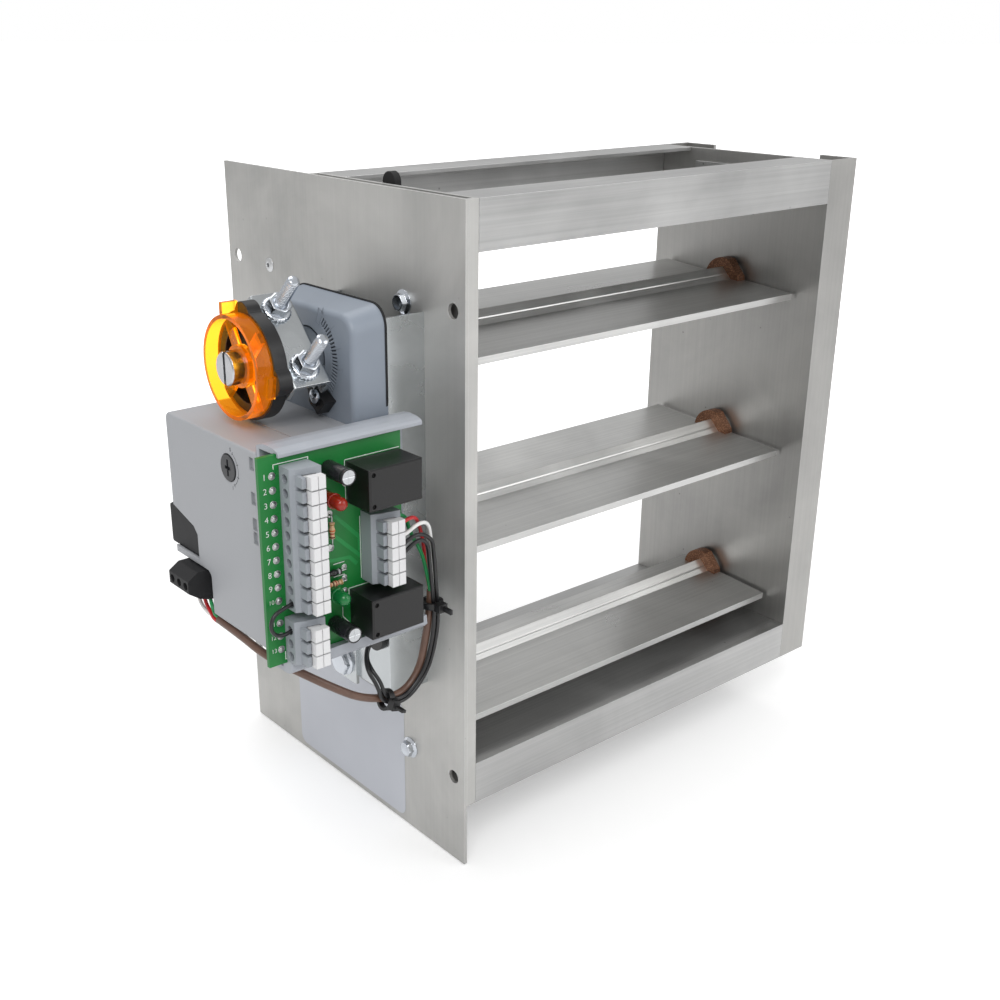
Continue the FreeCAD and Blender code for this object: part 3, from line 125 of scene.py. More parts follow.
def finish(name, **plain):
    """A material with a Principled shader, its plain sockets set by name, and its node tree."""
    made = bpy.data.materials.new(name)
    made.use_nodes = True
    shader = made.node_tree.nodes["Principled BSDF"]
    for key, value in plain.items():
        shader.inputs[key.replace("_", " ")].default_value = value
    return made, made.node_tree, shader


def lamp(name, place, aim, size, power):
    """A square soft lamp at a place, turned to a point: its side in metres and its power in watts."""
    data = bpy.data.lights.new(name, "AREA")
    data.size, data.energy = size, power
    obj = in_scene(name, data)
    obj.location = place
    obj.rotation_euler = (Vector(aim) - Vector(place)).to_track_quat("-Z", "Y").to_euler()


FLOOR_HALF, FLOOR_Z = 60, CAD_BOX[0][2] - 0.5 * MM
FADE_FROM, FADE_TO = 0.35, 1.1
GLOW_NEAR, GLOW_IN_METAL, SURROUND_LIGHT = 0.26, 0.12, 0.62
WHITE = (1, 1, 1, 1)
floor_mesh = bpy.data.meshes.new("floor")
corners = [(x * FLOOR_HALF, y * FLOOR_HALF, FLOOR_Z) for x, y in ((-1, -1), (1, -1), (1, 1), (-1, 1))]
floor_mesh.from_pydata(corners, [], [(0, 1, 2, 3)])
floor = in_scene("floor", floor_mesh)
pale, tree, shader = finish("pale_floor", Base_Color=(0.86, 0.86, 0.86, 1), Roughness=0.7,
                            Emission_Color=WHITE)
rays, seen = seen_rays(tree)
far = put(tree, "ShaderNodeVectorMath", {0: object_place(tree)}, operation="LENGTH")
fade = put(tree, "ShaderNodeMapRange", {"Value": far.outputs["Value"], "From Min": FADE_FROM,
                                        "From Max": FADE_TO, "To Min": GLOW_NEAR, "To Max": 1.0})
mirrored = math_node(tree, "MULTIPLY", rays.outputs["Is Glossy Ray"], GLOW_IN_METAL)
glow = math_node(tree, "ADD", math_node(tree, "MULTIPLY", seen, fade.outputs[0]), mirrored)
tree.links.new(glow, shader.inputs["Emission Strength"])
floor_mesh.materials.append(pale)

world = bpy.data.worlds.new("surround")
bpy.context.scene.world = world
world.use_nodes = True
tree = world.node_tree
_, seen = seen_rays(tree)
level = put(tree, "ShaderNodeMapRange", {"Value": seen, "To Min": SURROUND_LIGHT, "To Max": 1.0})
tree.links.new(level.outputs[0], tree.nodes["Background"].inputs["Strength"])
tree.nodes["Background"].inputs["Color"].default_value = WHITE
lamp("key", (-0.75, -0.95, 1.15), (0.0, 0.0, 0.0), 0.8, 11.5)
lamp("fill", (0.9, -1.3, 0.7), (0.1, 0.0, 0.0), 1.0, 6)
lamp("top", (0.1, 0.4, 1.3), (0.1, 0.0, 0.0), 1.0, 7)
bpy.context.scene.view_settings.view_transform = "Standard"


# Leads: the round signal cable, the sensor's two black wires and the cores, in the routes they lie in
# PVC jackets on stranded wire; the points are the route's own, in metres, under a smooth line of order 3
CABLE_R, SENSOR_R, CORE_R = 1.6 * MM, 0.8 * MM, 0.75 * MM
CABLE = [(-0.0782, -0.0255, -0.021), (-0.0784, -0.042, -0.0212), (-0.0775, -0.058, -0.0237),
         (-0.071, -0.0676, -0.0281), (-0.0585, -0.0744, -0.0373), (-0.045, -0.075, -0.0469),
         (-0.028, -0.075, -0.0518), (-0.018, -0.075, -0.0445), (-0.0142, -0.075, -0.03),
         (-0.0122, -0.075, -0.0179), (-0.0116, -0.075, -0.01)]
OUTER_WIRE = [(-0.0347, -0.08, 0.0125), (-0.0277, -0.0802, 0.0161), (-0.0209, -0.08, 0.0182),
              (-0.0143, -0.0796, 0.0139), (-0.0135, -0.0794, 0.009), (-0.0117, -0.07845, -0.0056),
              (-0.01031, -0.07755, -0.01299), (-0.0099, -0.07755, -0.02175), (-0.01123, -0.07755, -0.03144),
              (-0.01527, -0.07755, -0.04366), (-0.02621, -0.07755, -0.05356), (-0.03777, -0.07755, -0.05025),
              (-0.03966, -0.07685, -0.04198), (-0.04209, -0.07355, -0.03576), (-0.03763, -0.06655, -0.03231),
              (-0.02879, -0.05755, -0.03332), (-0.0248, -0.0515, -0.035), (-0.0183, -0.0515, -0.035)]
INNER_WIRE = [(-0.0347, -0.08, 0.0073), (-0.0277, -0.0802, 0.0125), (-0.0209, -0.08, 0.0157),
              (-0.0163, -0.0796, 0.0127), (-0.0155, -0.0794, 0.0038), (-0.01367, -0.07845, -0.00594),
              (-0.01229, -0.07755, -0.01321), (-0.0119, -0.07755, -0.02165), (-0.01317, -0.07755, -0.03096),
              (-0.01693, -0.07755, -0.04254), (-0.02679, -0.07755, -0.05164), (-0.03643, -0.07755, -0.04875),
              (-0.03774, -0.07685, -0.04142), (-0.04011, -0.07355, -0.03604), (-0.03737, -0.06655, -0.03429),
              (-0.02921, -0.05755, -0.03528), (-0.0248, -0.0515, -0.037), (-0.0183, -0.0515, -0.037)]
BOARD_CORES = {
    "green": [(-0.01238, -0.07545, -0.0097), (-0.01438, -0.07605, -0.001), (-0.01698, -0.07625, 0.0085),
              (-0.02198, -0.07565, 0.017), (-0.0259, -0.078, 0.0275), (-0.0347, -0.08, 0.0281)],
    "red": [(-0.0116, -0.0741, -0.0097), (-0.0132, -0.0738, -0.001), (-0.0146, -0.0746, 0.011),
            (-0.0176, -0.0754, 0.02), (-0.0227, -0.0794, 0.0252), (-0.0287, -0.0802, 0.0245),
            (-0.0347, -0.08, 0.0229)],
    "white": [(-0.01082, -0.07545, -0.0097), (-0.01142, -0.07585, 0.0), (-0.01252, -0.07665, 0.012),
              (-0.01482, -0.07805, 0.0204), (-0.0207, -0.0792, 0.0217), (-0.0272, -0.08, 0.019),
              (-0.0347, -0.08, 0.0177)]}
PLUG_CORES = {
    "white": [(-0.0773, -0.0072, -0.0143), (-0.0773, -0.0079, -0.0195), (-0.0775, -0.01535, -0.0223),
              (-0.07742, -0.0225, -0.02145), (-0.07742, -0.02535, -0.02145)],
    "red": [(-0.0773, -0.0124, -0.0143), (-0.0773, -0.0131, -0.018), (-0.0775, -0.01795, -0.0212),
            (-0.07898, -0.0225, -0.02145), (-0.07898, -0.02535, -0.02145)],
    "green": [(-0.0773, -0.0176, -0.0143), (-0.0773, -0.0183, -0.0171), (-0.0775, -0.02055, -0.0199),
              (-0.0782, -0.0225, -0.0201), (-0.0782, -0.02535, -0.0201)]}
JUMPER = [(-0.077, -0.08, 0.0057), (-0.0813, -0.0801, 0.0049), (-0.0858, -0.0804, 0.0036),
          (-0.0875, -0.0805, -0.0004), (-0.0858, -0.0803, -0.0043), (-0.0813, -0.0801, -0.0058),
          (-0.0778, -0.08, -0.0044)]


def noise(tree, place, scale, detail, **more):
    """The value of a noise over the surface: its scale in waves a metre, and how many finer levels it has."""
    inputs = {"Vector": place, "Scale": scale, "Detail": detail, **more}
    return put(tree, "ShaderNodeTexNoise", inputs).outputs["Fac"]


def blend_colour(tree, factor, a, b):
    """Colour a where the factor is 0 and colour b where it is 1."""
    return put(tree, "ShaderNodeMix", {"Factor": factor, 6: a, 7: b}, data_type="RGBA").outputs[2]


def relief(tree, height, strength, depth, **under):
    """The normal of a surface raised by a height, its depth in metres, over another normal where given."""
    inputs = {"Strength": strength, "Distance": depth, "Height": height, **under}
    return put(tree, "ShaderNodeBump", inputs).outputs["Normal"]


def coat(tree, shader, colour, normal, gloss=None):
    """Leads a colour, a normal and, where given, a roughness into a material's shader."""
    tree.links.new(colour, shader.inputs["Base Color"])
    tree.links.new(normal, shader.inputs["Normal"])
    if gloss is not None:
        tree.links.new(gloss, shader.inputs["Roughness"])


def jacket(name, low, high, roughness):
    """PVC jacket: its colour drifts along the wire, and a faint waviness breaks the highlight."""
    made, tree, shader = finish(name, Roughness=roughness)
    cloud = noise(tree, object_place(tree), 260.0, 3.0)
    coat(tree, shader, blend_colour(tree, cloud, low, high), relief(tree, cloud, 0.25, 0.1 * MM))
    return made


def wire(name, points, radius, material):
    """A round wire on one open spline of order 3 whose control points are the route's."""
    data = bpy.data.curves.new(name, "CURVE")
    data.dimensions = "3D"
    data.bevel_depth, data.bevel_resolution, data.use_fill_caps, data.resolution_u = radius, 5, True, 16
    spline = data.splines.new("NURBS")
    spline.points.add(len(points) - 1)
    for point, place in zip(spline.points, points):
        point.co = (*place, 1)
    spline.order_u = 3
    spline.use_endpoint_u = True
    data.materials.append(material)
    obj = in_scene(name, data)
    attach(obj, "frame")
    return obj


BROWN = jacket("brown_jacket", srgb(84, 62, 52), srgb(112, 84, 70), 0.36)
BLACK = jacket("black_jacket", srgb(20, 20, 21), srgb(36, 36, 38), 0.3)
CORES = {"white": jacket("white_core", srgb(226, 226, 224), srgb(240, 240, 238), 0.35),
         "red": jacket("red_core", srgb(176, 22, 28), srgb(205, 40, 44), 0.35),
         "green": jacket("green_core", srgb(10, 120, 62), srgb(24, 150, 82), 0.35)}
cable = wire("signal_cable_jacket", CABLE, CABLE_R, BROWN)
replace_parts(cable, "signal_cable")
for side, route, length in (("outer", OUTER_WIRE, 0.1558), ("inner", INNER_WIRE, 0.146)):
    sensor = wire(f"sensor_wire_{side}", route, SENSOR_R, BLACK)
    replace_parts(sensor, "sensor_lead")
for colour, length in (("green", 0.0482), ("red", 0.0504), ("white", 0.0507)):
    core = wire(f"board_core_{colour}", BOARD_CORES[colour], CORE_R, CORES[colour])
    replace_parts(core, "lead_cores")
    plug_core = wire(f"plug_core_{colour}", PLUG_CORES[colour], CORE_R, CORES[colour])
    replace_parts(plug_core, "lead_cores")
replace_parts(wire("jumper_loop", JUMPER, CORE_R, BLACK), "jumper_wire")


# Plate, pan and channels: 1.5 mm sheet and extruded channel in mill-finish aluminium
# The grain runs one way, with draw lines, cloudy handling marks and tiny dark specks; its edges are painted
# lighter as a painted highlight
def group(name, inputs, outputs):
    """A shader node group with named sockets, and its input and output nodes."""
    tree = bpy.data.node_groups.new(name, "ShaderNodeTree")
    for label, kind, value in inputs:
        tree.interface.new_socket(label, in_out="INPUT", socket_type=kind).default_value = value
    for label, kind in outputs:
        tree.interface.new_socket(label, in_out="OUTPUT", socket_type=kind)
    return tree, tree.nodes.new("NodeGroupInput").outputs, tree.nodes.new("NodeGroupOutput").inputs


# Soft edge: a normal that rounds sharp edges by a radius, and a mask that is 1 where that turns it; the metals
# paint a highlight on edges by this mask
SOFT_EDGE, given, out = group("soft_edge", [("Radius", "NodeSocketFloat", 0.3 * MM)],
                              [("Normal", "NodeSocketVector"), ("Highlight_Edge", "NodeSocketFloat")])
rounded = put(SOFT_EDGE, "ShaderNodeBevel", {"Radius": given["Radius"]}, samples=8).outputs[0]
flat = put(SOFT_EDGE, "ShaderNodeNewGeometry").outputs["Normal"]
turn = put(SOFT_EDGE, "ShaderNodeVectorMath", {0: rounded, 1: flat}, operation="DOT_PRODUCT")
edge = put(SOFT_EDGE, "ShaderNodeMapRange", {"Value": turn.outputs["Value"],
                                             "From Min": 0.99, "From Max": 0.78})
SOFT_EDGE.links.new(rounded, out["Normal"])
SOFT_EDGE.links.new(edge.outputs[0], out["Highlight_Edge"])

# Mill finish: Stretched is the place drawn out along the grain, Place the place itself; masks go from 0 to 1
MILL, given, out = group("mill_finish",
                         [(label, "NodeSocketVector", (0, 0, 0)) for label in ("Stretched", "Place")],
                         [(label, "NodeSocketFloat") for label in ("Lines", "Fine", "Cloud", "Speck")])
cell = put(MILL, "ShaderNodeTexVoronoi", {"Vector": given["Place"], "Scale": 75.0, "Randomness": 1.0})
dot = put(MILL, "ShaderNodeMapRange", {"Value": cell.outputs["Distance"],
                                       "From Min": 0.045, "From Max": 0.02})
chance = put(MILL, "ShaderNodeSeparateColor", {0: cell.outputs["Color"]}).outputs[0]
rare = math_node(MILL, "GREATER_THAN", chance, 0.8)
MILL.links.new(noise(MILL, given["Stretched"], 1.0, 5.0, Roughness=0.62), out["Lines"])
MILL.links.new(noise(MILL, given["Stretched"], 5.5, 2.0), out["Fine"])
MILL.links.new(noise(MILL, given["Place"], 17.0, 5.0, Roughness=0.55, Distortion=0.6), out["Cloud"])
MILL.links.new(math_node(MILL, "MULTIPLY", dot.outputs[0], rare), out["Speck"])


def spread(tree, value, low, high):
    """The middle of a noise, from 0.3 to 0.7, spread out from low to high."""
    return put(tree, "ShaderNodeMapRange", {"Value": value, "From Min": 0.3, "From Max": 0.7,
                                            "To Min": low, "To Max": high}).outputs[0]


def soft_edge(tree, radius):
    """The soft edge's outputs in a material, for a radius."""
    return put(tree, "ShaderNodeGroup", {"Radius": radius}, node_tree=SOFT_EDGE).outputs


WAVES_ALONG, WAVES_ACROSS = 7.0, 900.0


def aluminium(name, along, low, high, draw, sheen, rough=(0.27, 0.45), specks=0.5):
    """Mill-finish aluminium whose grain runs along an axis (0, 1 or 2), between two colours and two
    roughnesses. Draw is the share of the draw lines in its tone, against the cloudy marks."""
    made, tree, shader = finish(name, Metallic=sheen)
    place = object_place(tree)
    scale = [WAVES_ACROSS] * 3
    scale[along] = WAVES_ALONG
    stretched = put(tree, "ShaderNodeMapping", {"Vector": place, "Scale": scale}).outputs[0]
    mill = put(tree, "ShaderNodeGroup", {"Stretched": stretched, "Place": place}, node_tree=MILL).outputs
    soft = soft_edge(tree, 0.25 * MM)
    lines = math_node(tree, "MULTIPLY", mill["Lines"], draw)
    tone = math_node(tree, "ADD", lines, spread(tree, mill["Cloud"], 0.0, 1.0 - draw), True)
    colour = blend_colour(tree, tone, low, high)
    colour = blend_colour(tree, math_node(tree, "MULTIPLY", mill["Speck"], specks), colour, srgb(70, 68, 66))
    # Painted highlight: the edges are lightened towards near-white
    colour = blend_colour(tree, math_node(tree, "MULTIPLY", soft["Highlight_Edge"], 0.45), colour, srgb(236, 237, 238))
    height = math_node(tree, "ADD", mill["Lines"], mill["Fine"])
    normal = relief(tree, height, 0.16, 0.03 * MM, Normal=soft["Normal"])
    coat(tree, shader, colour, normal, spread(tree, mill["Cloud"], *rough))
    return made


def dress(material, *nodes):
    """Puts a material in every slot of the model's own parts."""
    for node in nodes:
        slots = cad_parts[node].data.materials
        for i in range(max(1, len(slots))):
            if i < len(slots):
                slots[i] = material
            else:
                slots.append(material)


PLATE_METAL = aluminium("rolled_sheet", 2, srgb(163, 163, 161), srgb(205, 204, 201), 0.3, 0.66,
                        rough=(0.42, 0.54), specks=0.2)
CHANNEL_METAL = aluminium("extruded_channel", 0, srgb(150, 150, 150), srgb(208, 208, 207), 0.66, 0.92)
SIDE_METAL = aluminium("extruded_side", 2, srgb(146, 145, 144), srgb(190, 189, 186), 0.4, 0.92,
                       rough=(0.3, 0.46))
# The blades' tones are raised above the channels' to stand for more light from the left: this lift is painted
# light
BLADE_METAL = aluminium("extruded_blade", 0, srgb(172, 172, 171), srgb(232, 232, 230), 0.6, 0.92,
                        rough=(0.26, 0.42), specks=0.35)
dress(PLATE_METAL, "mounting_plate", "drive_side_frame")
dress(CHANNEL_METAL, "top_channel", "bottom_channel")
dress(SIDE_METAL, "far_side_channel")
dress(BLADE_METAL, "blade_top", "blade_middle", "blade_bottom")


# Label: a blank polyester film with rounded corners, stuck on the plate's lower part
# Its print is left out; the film is a dull bluish grey with a slight orange peel
def mesh_piece(name, verts, faces, material, body, slot=None, angle=35):
    """A piece from points in metres and faces, shaded smooth except past an angle, that rides on a body."""
    data = bpy.data.meshes.new(name)
    data.from_pydata(np.asarray(verts, float).tolist(), [], faces)
    work = bmesh.new()
    work.from_mesh(data)
    bmesh.ops.remove_doubles(work, verts=work.verts, dist=1e-7)
    bmesh.ops.recalc_face_normals(work, faces=work.faces)
    work.to_mesh(data)
    work.free()
    data.polygons.foreach_set("use_smooth", np.ones(len(data.polygons), bool))
    data.set_sharp_from_angle(angle=math.radians(angle))
    data.materials.append(material)
    obj = in_scene(name, data)
    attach(obj, body)
    return obj


def rounded_outline(low, high, radius, steps=8):
    """A rectangle's outline with quarter circles for corners, as (n, 2) points."""
    corners = np.array([(high[0], high[1]), (low[0], high[1]), (low[0], low[1]), (high[0], low[1])], float)
    inward = np.sign((np.array(low) + high) / 2 - corners)
    turns = np.linspace(0, np.pi / 2, steps) + np.arange(4)[:, None] * np.pi / 2
    arcs = np.stack([np.cos(turns), np.sin(turns)], -1) * radius
    return (corners[:, None] + inward[:, None] * radius + arcs).reshape(-1, 2)


def plated(outline, axis, base, thickness):
    """A flat piece: the outline's points at a base along an axis and again a thickness further, and faces."""
    n = len(outline)
    verts = [np.insert(outline, axis, level, axis=1) for level in (base, base + thickness)]
    i = np.arange(n)
    sides = np.stack([i, (i + 1) % n, (i + 1) % n + n, i + n], -1)
    return np.concatenate(verts), [list(range(n)), list(range(n, 2 * n))[::-1]] + sides.tolist()


LABEL_LOW, LABEL_HIGH, LABEL_CORNER = (-42.4 * MM, -137.2 * MM), (42.9 * MM, -79.8 * MM), 4.5 * MM
FILM, GLUE = 0.11 * MM, 0.01 * MM
film, tree, shader = finish("label_film", Roughness=0.42)
place = object_place(tree)
tone = blend_colour(tree, noise(tree, place, 24.0, 4.0), srgb(188, 191, 199), srgb(201, 204, 211))
coat(tree, shader, tone, relief(tree, noise(tree, place, 900.0, 2.0), 0.2, 0.05 * MM))
plate_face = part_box("mounting_plate")[0].x
outline = rounded_outline(LABEL_LOW, LABEL_HIGH, LABEL_CORNER)
mesh_piece("blank_label", *plated(outline, 0, plate_face - GLUE - FILM, FILM), film, "frame")


# Blind rivets: domed aluminium heads with the broken stem in a round pit, and the set bulb on the far side
# They join the channels' tabs to the side webs, and the stand-off bracket's feet to the plate
def solids_of(node):
    """The lowest and highest corner and the points of each separate solid of a node, found by spreading the
    smallest label over every triangle's corners until nothing changes."""
    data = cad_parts[node].data
    data.calc_loop_triangles()
    co = np.zeros(len(data.vertices) * 3)
    data.vertices.foreach_get("co", co)
    tri = np.zeros(len(data.loop_triangles) * 3, int)
    data.loop_triangles.foreach_get("vertices", tri)
    points, same = np.unique(np.round(co.reshape(-1, 3), 7), axis=0, return_inverse=True)
    tri = same.reshape(-1)[tri].reshape(-1, 3)
    label, before = np.arange(len(points)), None
    while before is None or (label != before).any():
        before = label.copy()
        least = label[tri].min(1)
        for k in range(3):
            np.minimum.at(label, tri[:, k], least)
    parts = [points[label == v] for v in np.unique(label)]
    return [(part.min(0), part.max(0), part) for part in parts]


def rings(radius, along, centre, axis, columns=40):
    """Rings about an axis: at angle t a point is centre + along * axis + radius * (cos t * side + sin t *
    up). The radius is one value a ring, or one a point. Returns a (rings, columns, 3) grid."""
    axis = np.asarray(axis, float)
    side = np.cross(axis, (0.0, 0.0, 1.0) if abs(axis[2]) < 0.9 else (1.0, 0.0, 0.0))
    side /= np.linalg.norm(side)
    t = np.arange(columns) * 2 * np.pi / columns
    spoke = np.cos(t)[:, None] * side + np.sin(t)[:, None] * np.cross(axis, side)
    radius = np.broadcast_to(np.reshape(radius, (len(along), -1)), (len(along), columns))
    return np.asarray(centre) + np.reshape(along, (-1, 1, 1)) * axis + radius[:, :, None] * spoke


def skin(grids):
    """Points and faces of grids whose last column joins the first, each a closed tube or turned shape."""
    verts, faces, start = [], [], 0
    for grid in grids:
        rows, cols = grid.shape[:2]
        r, c = np.meshgrid(np.arange(rows - 1), np.arange(cols), indexing="ij")
        n = (c + 1) % cols
        quads = np.stack([r * cols + c, r * cols + n, (r + 1) * cols + n, (r + 1) * cols + c], -1)
        faces += (quads.reshape(-1, 4) + start).tolist()
        verts.append(grid.reshape(-1, 3))
        start += rows * cols
    return np.concatenate(verts), faces


def zinc(name, low, high, roughness, clouds=60.0):
    """Bright or dull plated metal: cloudy tone, fine pits, and edges painted lighter as a painted highlight.
    """
    made, tree, shader = finish(name, Metallic=1.0)
    place = object_place(tree)
    cloud = noise(tree, place, clouds, 5.0, Distortion=0.8)
    soft = soft_edge(tree, 0.25 * MM)
    colour = blend_colour(tree, cloud, low, high)
    # Painted highlight: the edges are lightened towards near-white
    colour = blend_colour(tree, math_node(tree, "MULTIPLY", soft["Highlight_Edge"], 0.5), colour, srgb(244, 245, 246))
    normal = relief(tree, noise(tree, place, 900.0, 2.0), 0.12, 0.03 * MM, Normal=soft["Normal"])
    coat(tree, shader, colour, normal, spread(tree, cloud, roughness - 0.07, roughness + 0.07))
    return made


def end_radius(points, x):
    """The largest distance from the solid's own axis, among its points at a place along X."""
    middle = (points.min(0) + points.max(0)) / 2
    near = points[np.abs(points[:, 0] - x) < 1e-5]
    return np.hypot(near[:, 1] - middle[1], near[:, 2] - middle[2]).max()


RIVET_METAL = zinc("rivet_aluminium", srgb(186, 188, 190), srgb(222, 223, 224), 0.3)
STEM_R, SHANK_R, HEAD_RISE, BULB_REACH = 0.95 * MM, 1.6 * MM, 0.9 * MM, 1.28 * MM
rivets = []
for low, high, points in solids_of("frame_rivets"):
    head_low = end_radius(points, low[0]) > end_radius(points, high[0])
    head_x, tail_x = (low[0], high[0]) if head_low else (high[0], low[0])
    way = np.sign(head_x - tail_x)
    centre = [tail_x, *((low + high) / 2)[1:]]
    length, head = abs(head_x - tail_x), (high[1] - low[1]) / 2
    seat = length - HEAD_RISE
    bulb_r = np.array([0, STEM_R, SHANK_R * 1.35, SHANK_R * 1.5, SHANK_R * 1.3, SHANK_R, SHANK_R])
    bulb_s = np.array([0, 0, 0.15 * MM, 0.6 * MM, BULB_REACH, BULB_REACH, seat])
    dome_r = np.array([head, head, head * 0.86, head * 0.62, head * 0.42, STEM_R, STEM_R, STEM_R * 0.7, 0])
    dome_s = seat + np.array([0, 0.15, 0.5, 0.78, 0.9, 0.8, -0.5, -0.7, -0.7]) * MM
    rivets.append(rings(np.append(bulb_r, dome_r), np.append(bulb_s, dome_s), centre, (way, 0, 0)))
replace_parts(mesh_piece("domed_rivets", *skin(rivets), RIVET_METAL, "frame", "rivet_metal"), "frame_rivets")


# Hex washer-head screws: zinc-plated steel, two in the plate and a larger one in the anti-rotation strap
# The hexagon is cut by a chamfer cone, its crown has a shallow dish, and the shank is threaded
def hexed(radius, across, columns):
    """Rings limited to a hexagon: at angle t off a flat's middle, the lesser of the radius and half the width
    across flats / cos t."""
    t = (np.arange(columns) * 2 * np.pi / columns) % (np.pi / 3) - np.pi / 6
    return np.minimum(np.reshape(radius, (-1, 1)), across / 2 / np.cos(t))


def zigzag(turns):
    """A triangle wave of the turns: 1 at whole turns and 0 at half turns."""
    return np.abs(2 * (turns % 1) - 1)


def threaded(radius, along, pitch, depth, columns):
    """Rings cut by a thread: the radius less the depth times a zigzag of along / pitch - angle / 2 pi."""
    turns = np.reshape(along, (-1, 1)) / pitch - np.arange(columns) / columns
    return np.reshape(radius, (-1, 1)) - depth * zigzag(turns)


ZINC_BRIGHT = zinc("bright_zinc", srgb(176, 182, 190), srgb(226, 230, 236), 0.2)
COLUMNS, SCREW_R, SCREW_PITCH, SCREW_THREAD = 48, 2.1 * MM, 1.1 * MM, 0.35 * MM
SMALL_HEX, LARGE_HEX, SMALL_FLANGE, HEAD_TALL = 6.35 * MM, 10.0 * MM, 5 * MM, 3.2 * MM
screws = []
for low, high, _ in solids_of("hex_screws"):
    centre = [low[0], *((low + high) / 2)[1:]]
    flange, reach = (high[1] - low[1]) / 2, high[0] - low[0]
    across = SMALL_HEX if flange < SMALL_FLANGE else LARGE_HEX
    crown_r = np.array([0, 0.62, 0.78, 0.96, 1.17, 1.17]) * across / 2
    skirt_r = np.array([[1.12 * across / 2], [flange], [flange]]) * np.ones((1, COLUMNS))
    head_s = np.append(np.array([0.25, 0.25, 0.0, 0.0, 0.55, 2.1, 2.25, 2.85]) * MM, HEAD_TALL)
    shank_s = np.linspace(HEAD_TALL, reach - 0.3 * MM, int((reach - HEAD_TALL) / SCREW_PITCH * 8))
    shank = threaded(np.full(len(shank_s), SCREW_R), shank_s, SCREW_PITCH, SCREW_THREAD, COLUMNS)
    end = np.array([[SCREW_R * 0.7], [0.0]]) * np.ones((1, COLUMNS))
    radius = np.vstack([hexed(crown_r, across, COLUMNS), skirt_r, shank, end])
    along = np.concatenate([head_s, shank_s, [reach, reach]])
    screws.append(rings(radius, along, centre, (1, 0, 0), COLUMNS))
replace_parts(mesh_piece("hex_screw_heads", *skin(screws), ZINC_BRIGHT, "frame", "zinc_steel"), "hex_screws")


# Bushes, hubs, shaft and linkage: the turning parts that carry the blades
# Acetal bushes, sintered bronze hubs with a grainy skin, bright drawn shaft, zinc-plated cranks and tie bar
def grainy(name, low, high, roughness, metallic=0.0, grain=1400.0, depth=0.08, fleck=None, clear=0.0):
    """Moulded or sintered skin: two tones, a fine grain of a depth in millimetres, softened edges, flecks of
    a third colour where given, and the share of light that passes it."""
    made, tree, shader = finish(name, Metallic=metallic, Transmission_Weight=clear)
    place = object_place(tree)
    cloud = noise(tree, place, 45.0, 4.0)
    colour = blend_colour(tree, cloud, low, high)
    if fleck:
        cell = put(tree, "ShaderNodeTexVoronoi", {"Vector": place, "Scale": grain}).outputs["Distance"]
        bright = put(tree, "ShaderNodeMapRange", {"Value": cell, "From Min": 0.42, "From Max": 0.2})
        colour = blend_colour(tree, bright.outputs[0], colour, fleck)
    soft = soft_edge(tree, 0.35 * MM)
    normal = relief(tree, noise(tree, place, grain, 3.0), 0.5, depth * MM, Normal=soft["Normal"])
    coat(tree, shader, colour, normal, spread(tree, cloud, roughness - 0.05, roughness + 0.06))
    return made


dress(grainy("acetal", srgb(96, 92, 88), srgb(112, 108, 103), 0.5), "web_bushes")
BRONZE = grainy("sintered_bronze", srgb(84, 56, 42), srgb(132, 92, 68), 0.46, 0.7, 1500.0, 0.2,
                srgb(176, 130, 100))
dress(BRONZE, "end_hubs_top", "end_hubs_middle", "end_hubs_bottom")
dress(zinc("drawn_steel", srgb(178, 179, 182), srgb(214, 215, 218), 0.24, 140.0), "drive_shaft")
dress(zinc("plated_sheet", srgb(168, 172, 174), srgb(214, 218, 220), 0.26, 48.0), "crank_top", "crank_middle",
      "crank_bottom", "tie_bar", "standoff_bracket", "rotation_strap", "clamp_bracket")


# U-bolt and flange nuts: bright zinc rod bent round the shaft, and a serrated flange nut on each leg
# The rod runs down one leg, round the shaft and up the other, and is threaded near its two ends
AXIS, CLAMP_TURN = np.array([0, -31.8, 80.0]) * MM, math.radians(45.8)
SHAFT_R, STUD_R, STUD_HALF, STUD_TOP = 6.35 * MM, 2.5 * MM, 12.5 * MM, 33.0 * MM
BOLT_X, SEAT_UP, THREAD_REACH = -49.6 * MM, 14.0 * MM, 19.5 * MM
STUD_PITCH, STUD_THREAD, STUD_TIP = 0.8 * MM, 0.3 * MM, 0.9 * MM
BEND_UP = STUD_HALF - STUD_R - SHAFT_R
PATH_ROWS, ROD_COLUMNS, NUT_COLUMNS, TEETH, NUT_HEX = 420, 32, 96, 24, 8.0 * MM


def about_shaft(grid):
    """Turns a grid built upright about the shaft's axis by the clamp's angle a, and moves it there: y becomes
    y cos a - z sin a, and z becomes y sin a + z cos a."""
    cos, sin = math.cos(CLAMP_TURN), math.sin(CLAMP_TURN)
    x, y, z = grid[..., 0], grid[..., 1], grid[..., 2]
    return np.stack([x, y * cos - z * sin, y * sin + z * cos], -1) + AXIS


def u_path(rows):
    """Lengths, points and tangents down a leg, round a half circle and up the other, in a plane across X."""
    leg, turn = STUD_TOP - BEND_UP, np.pi * STUD_HALF
    s = np.linspace(0, 2 * leg + turn, rows)
    angle = np.clip((s - leg) / STUD_HALF, 0, np.pi)
    fall, rise = np.minimum(s, leg), np.maximum(s - leg - turn, 0)
    y = -STUD_HALF * np.cos(angle)
    z = STUD_TOP - fall - STUD_HALF * np.sin(angle) + rise
    tangent = np.stack([np.zeros(rows), np.sin(angle), -np.cos(angle)], -1)
    return s, np.stack([np.full(rows, BOLT_X), y, z], -1), tangent


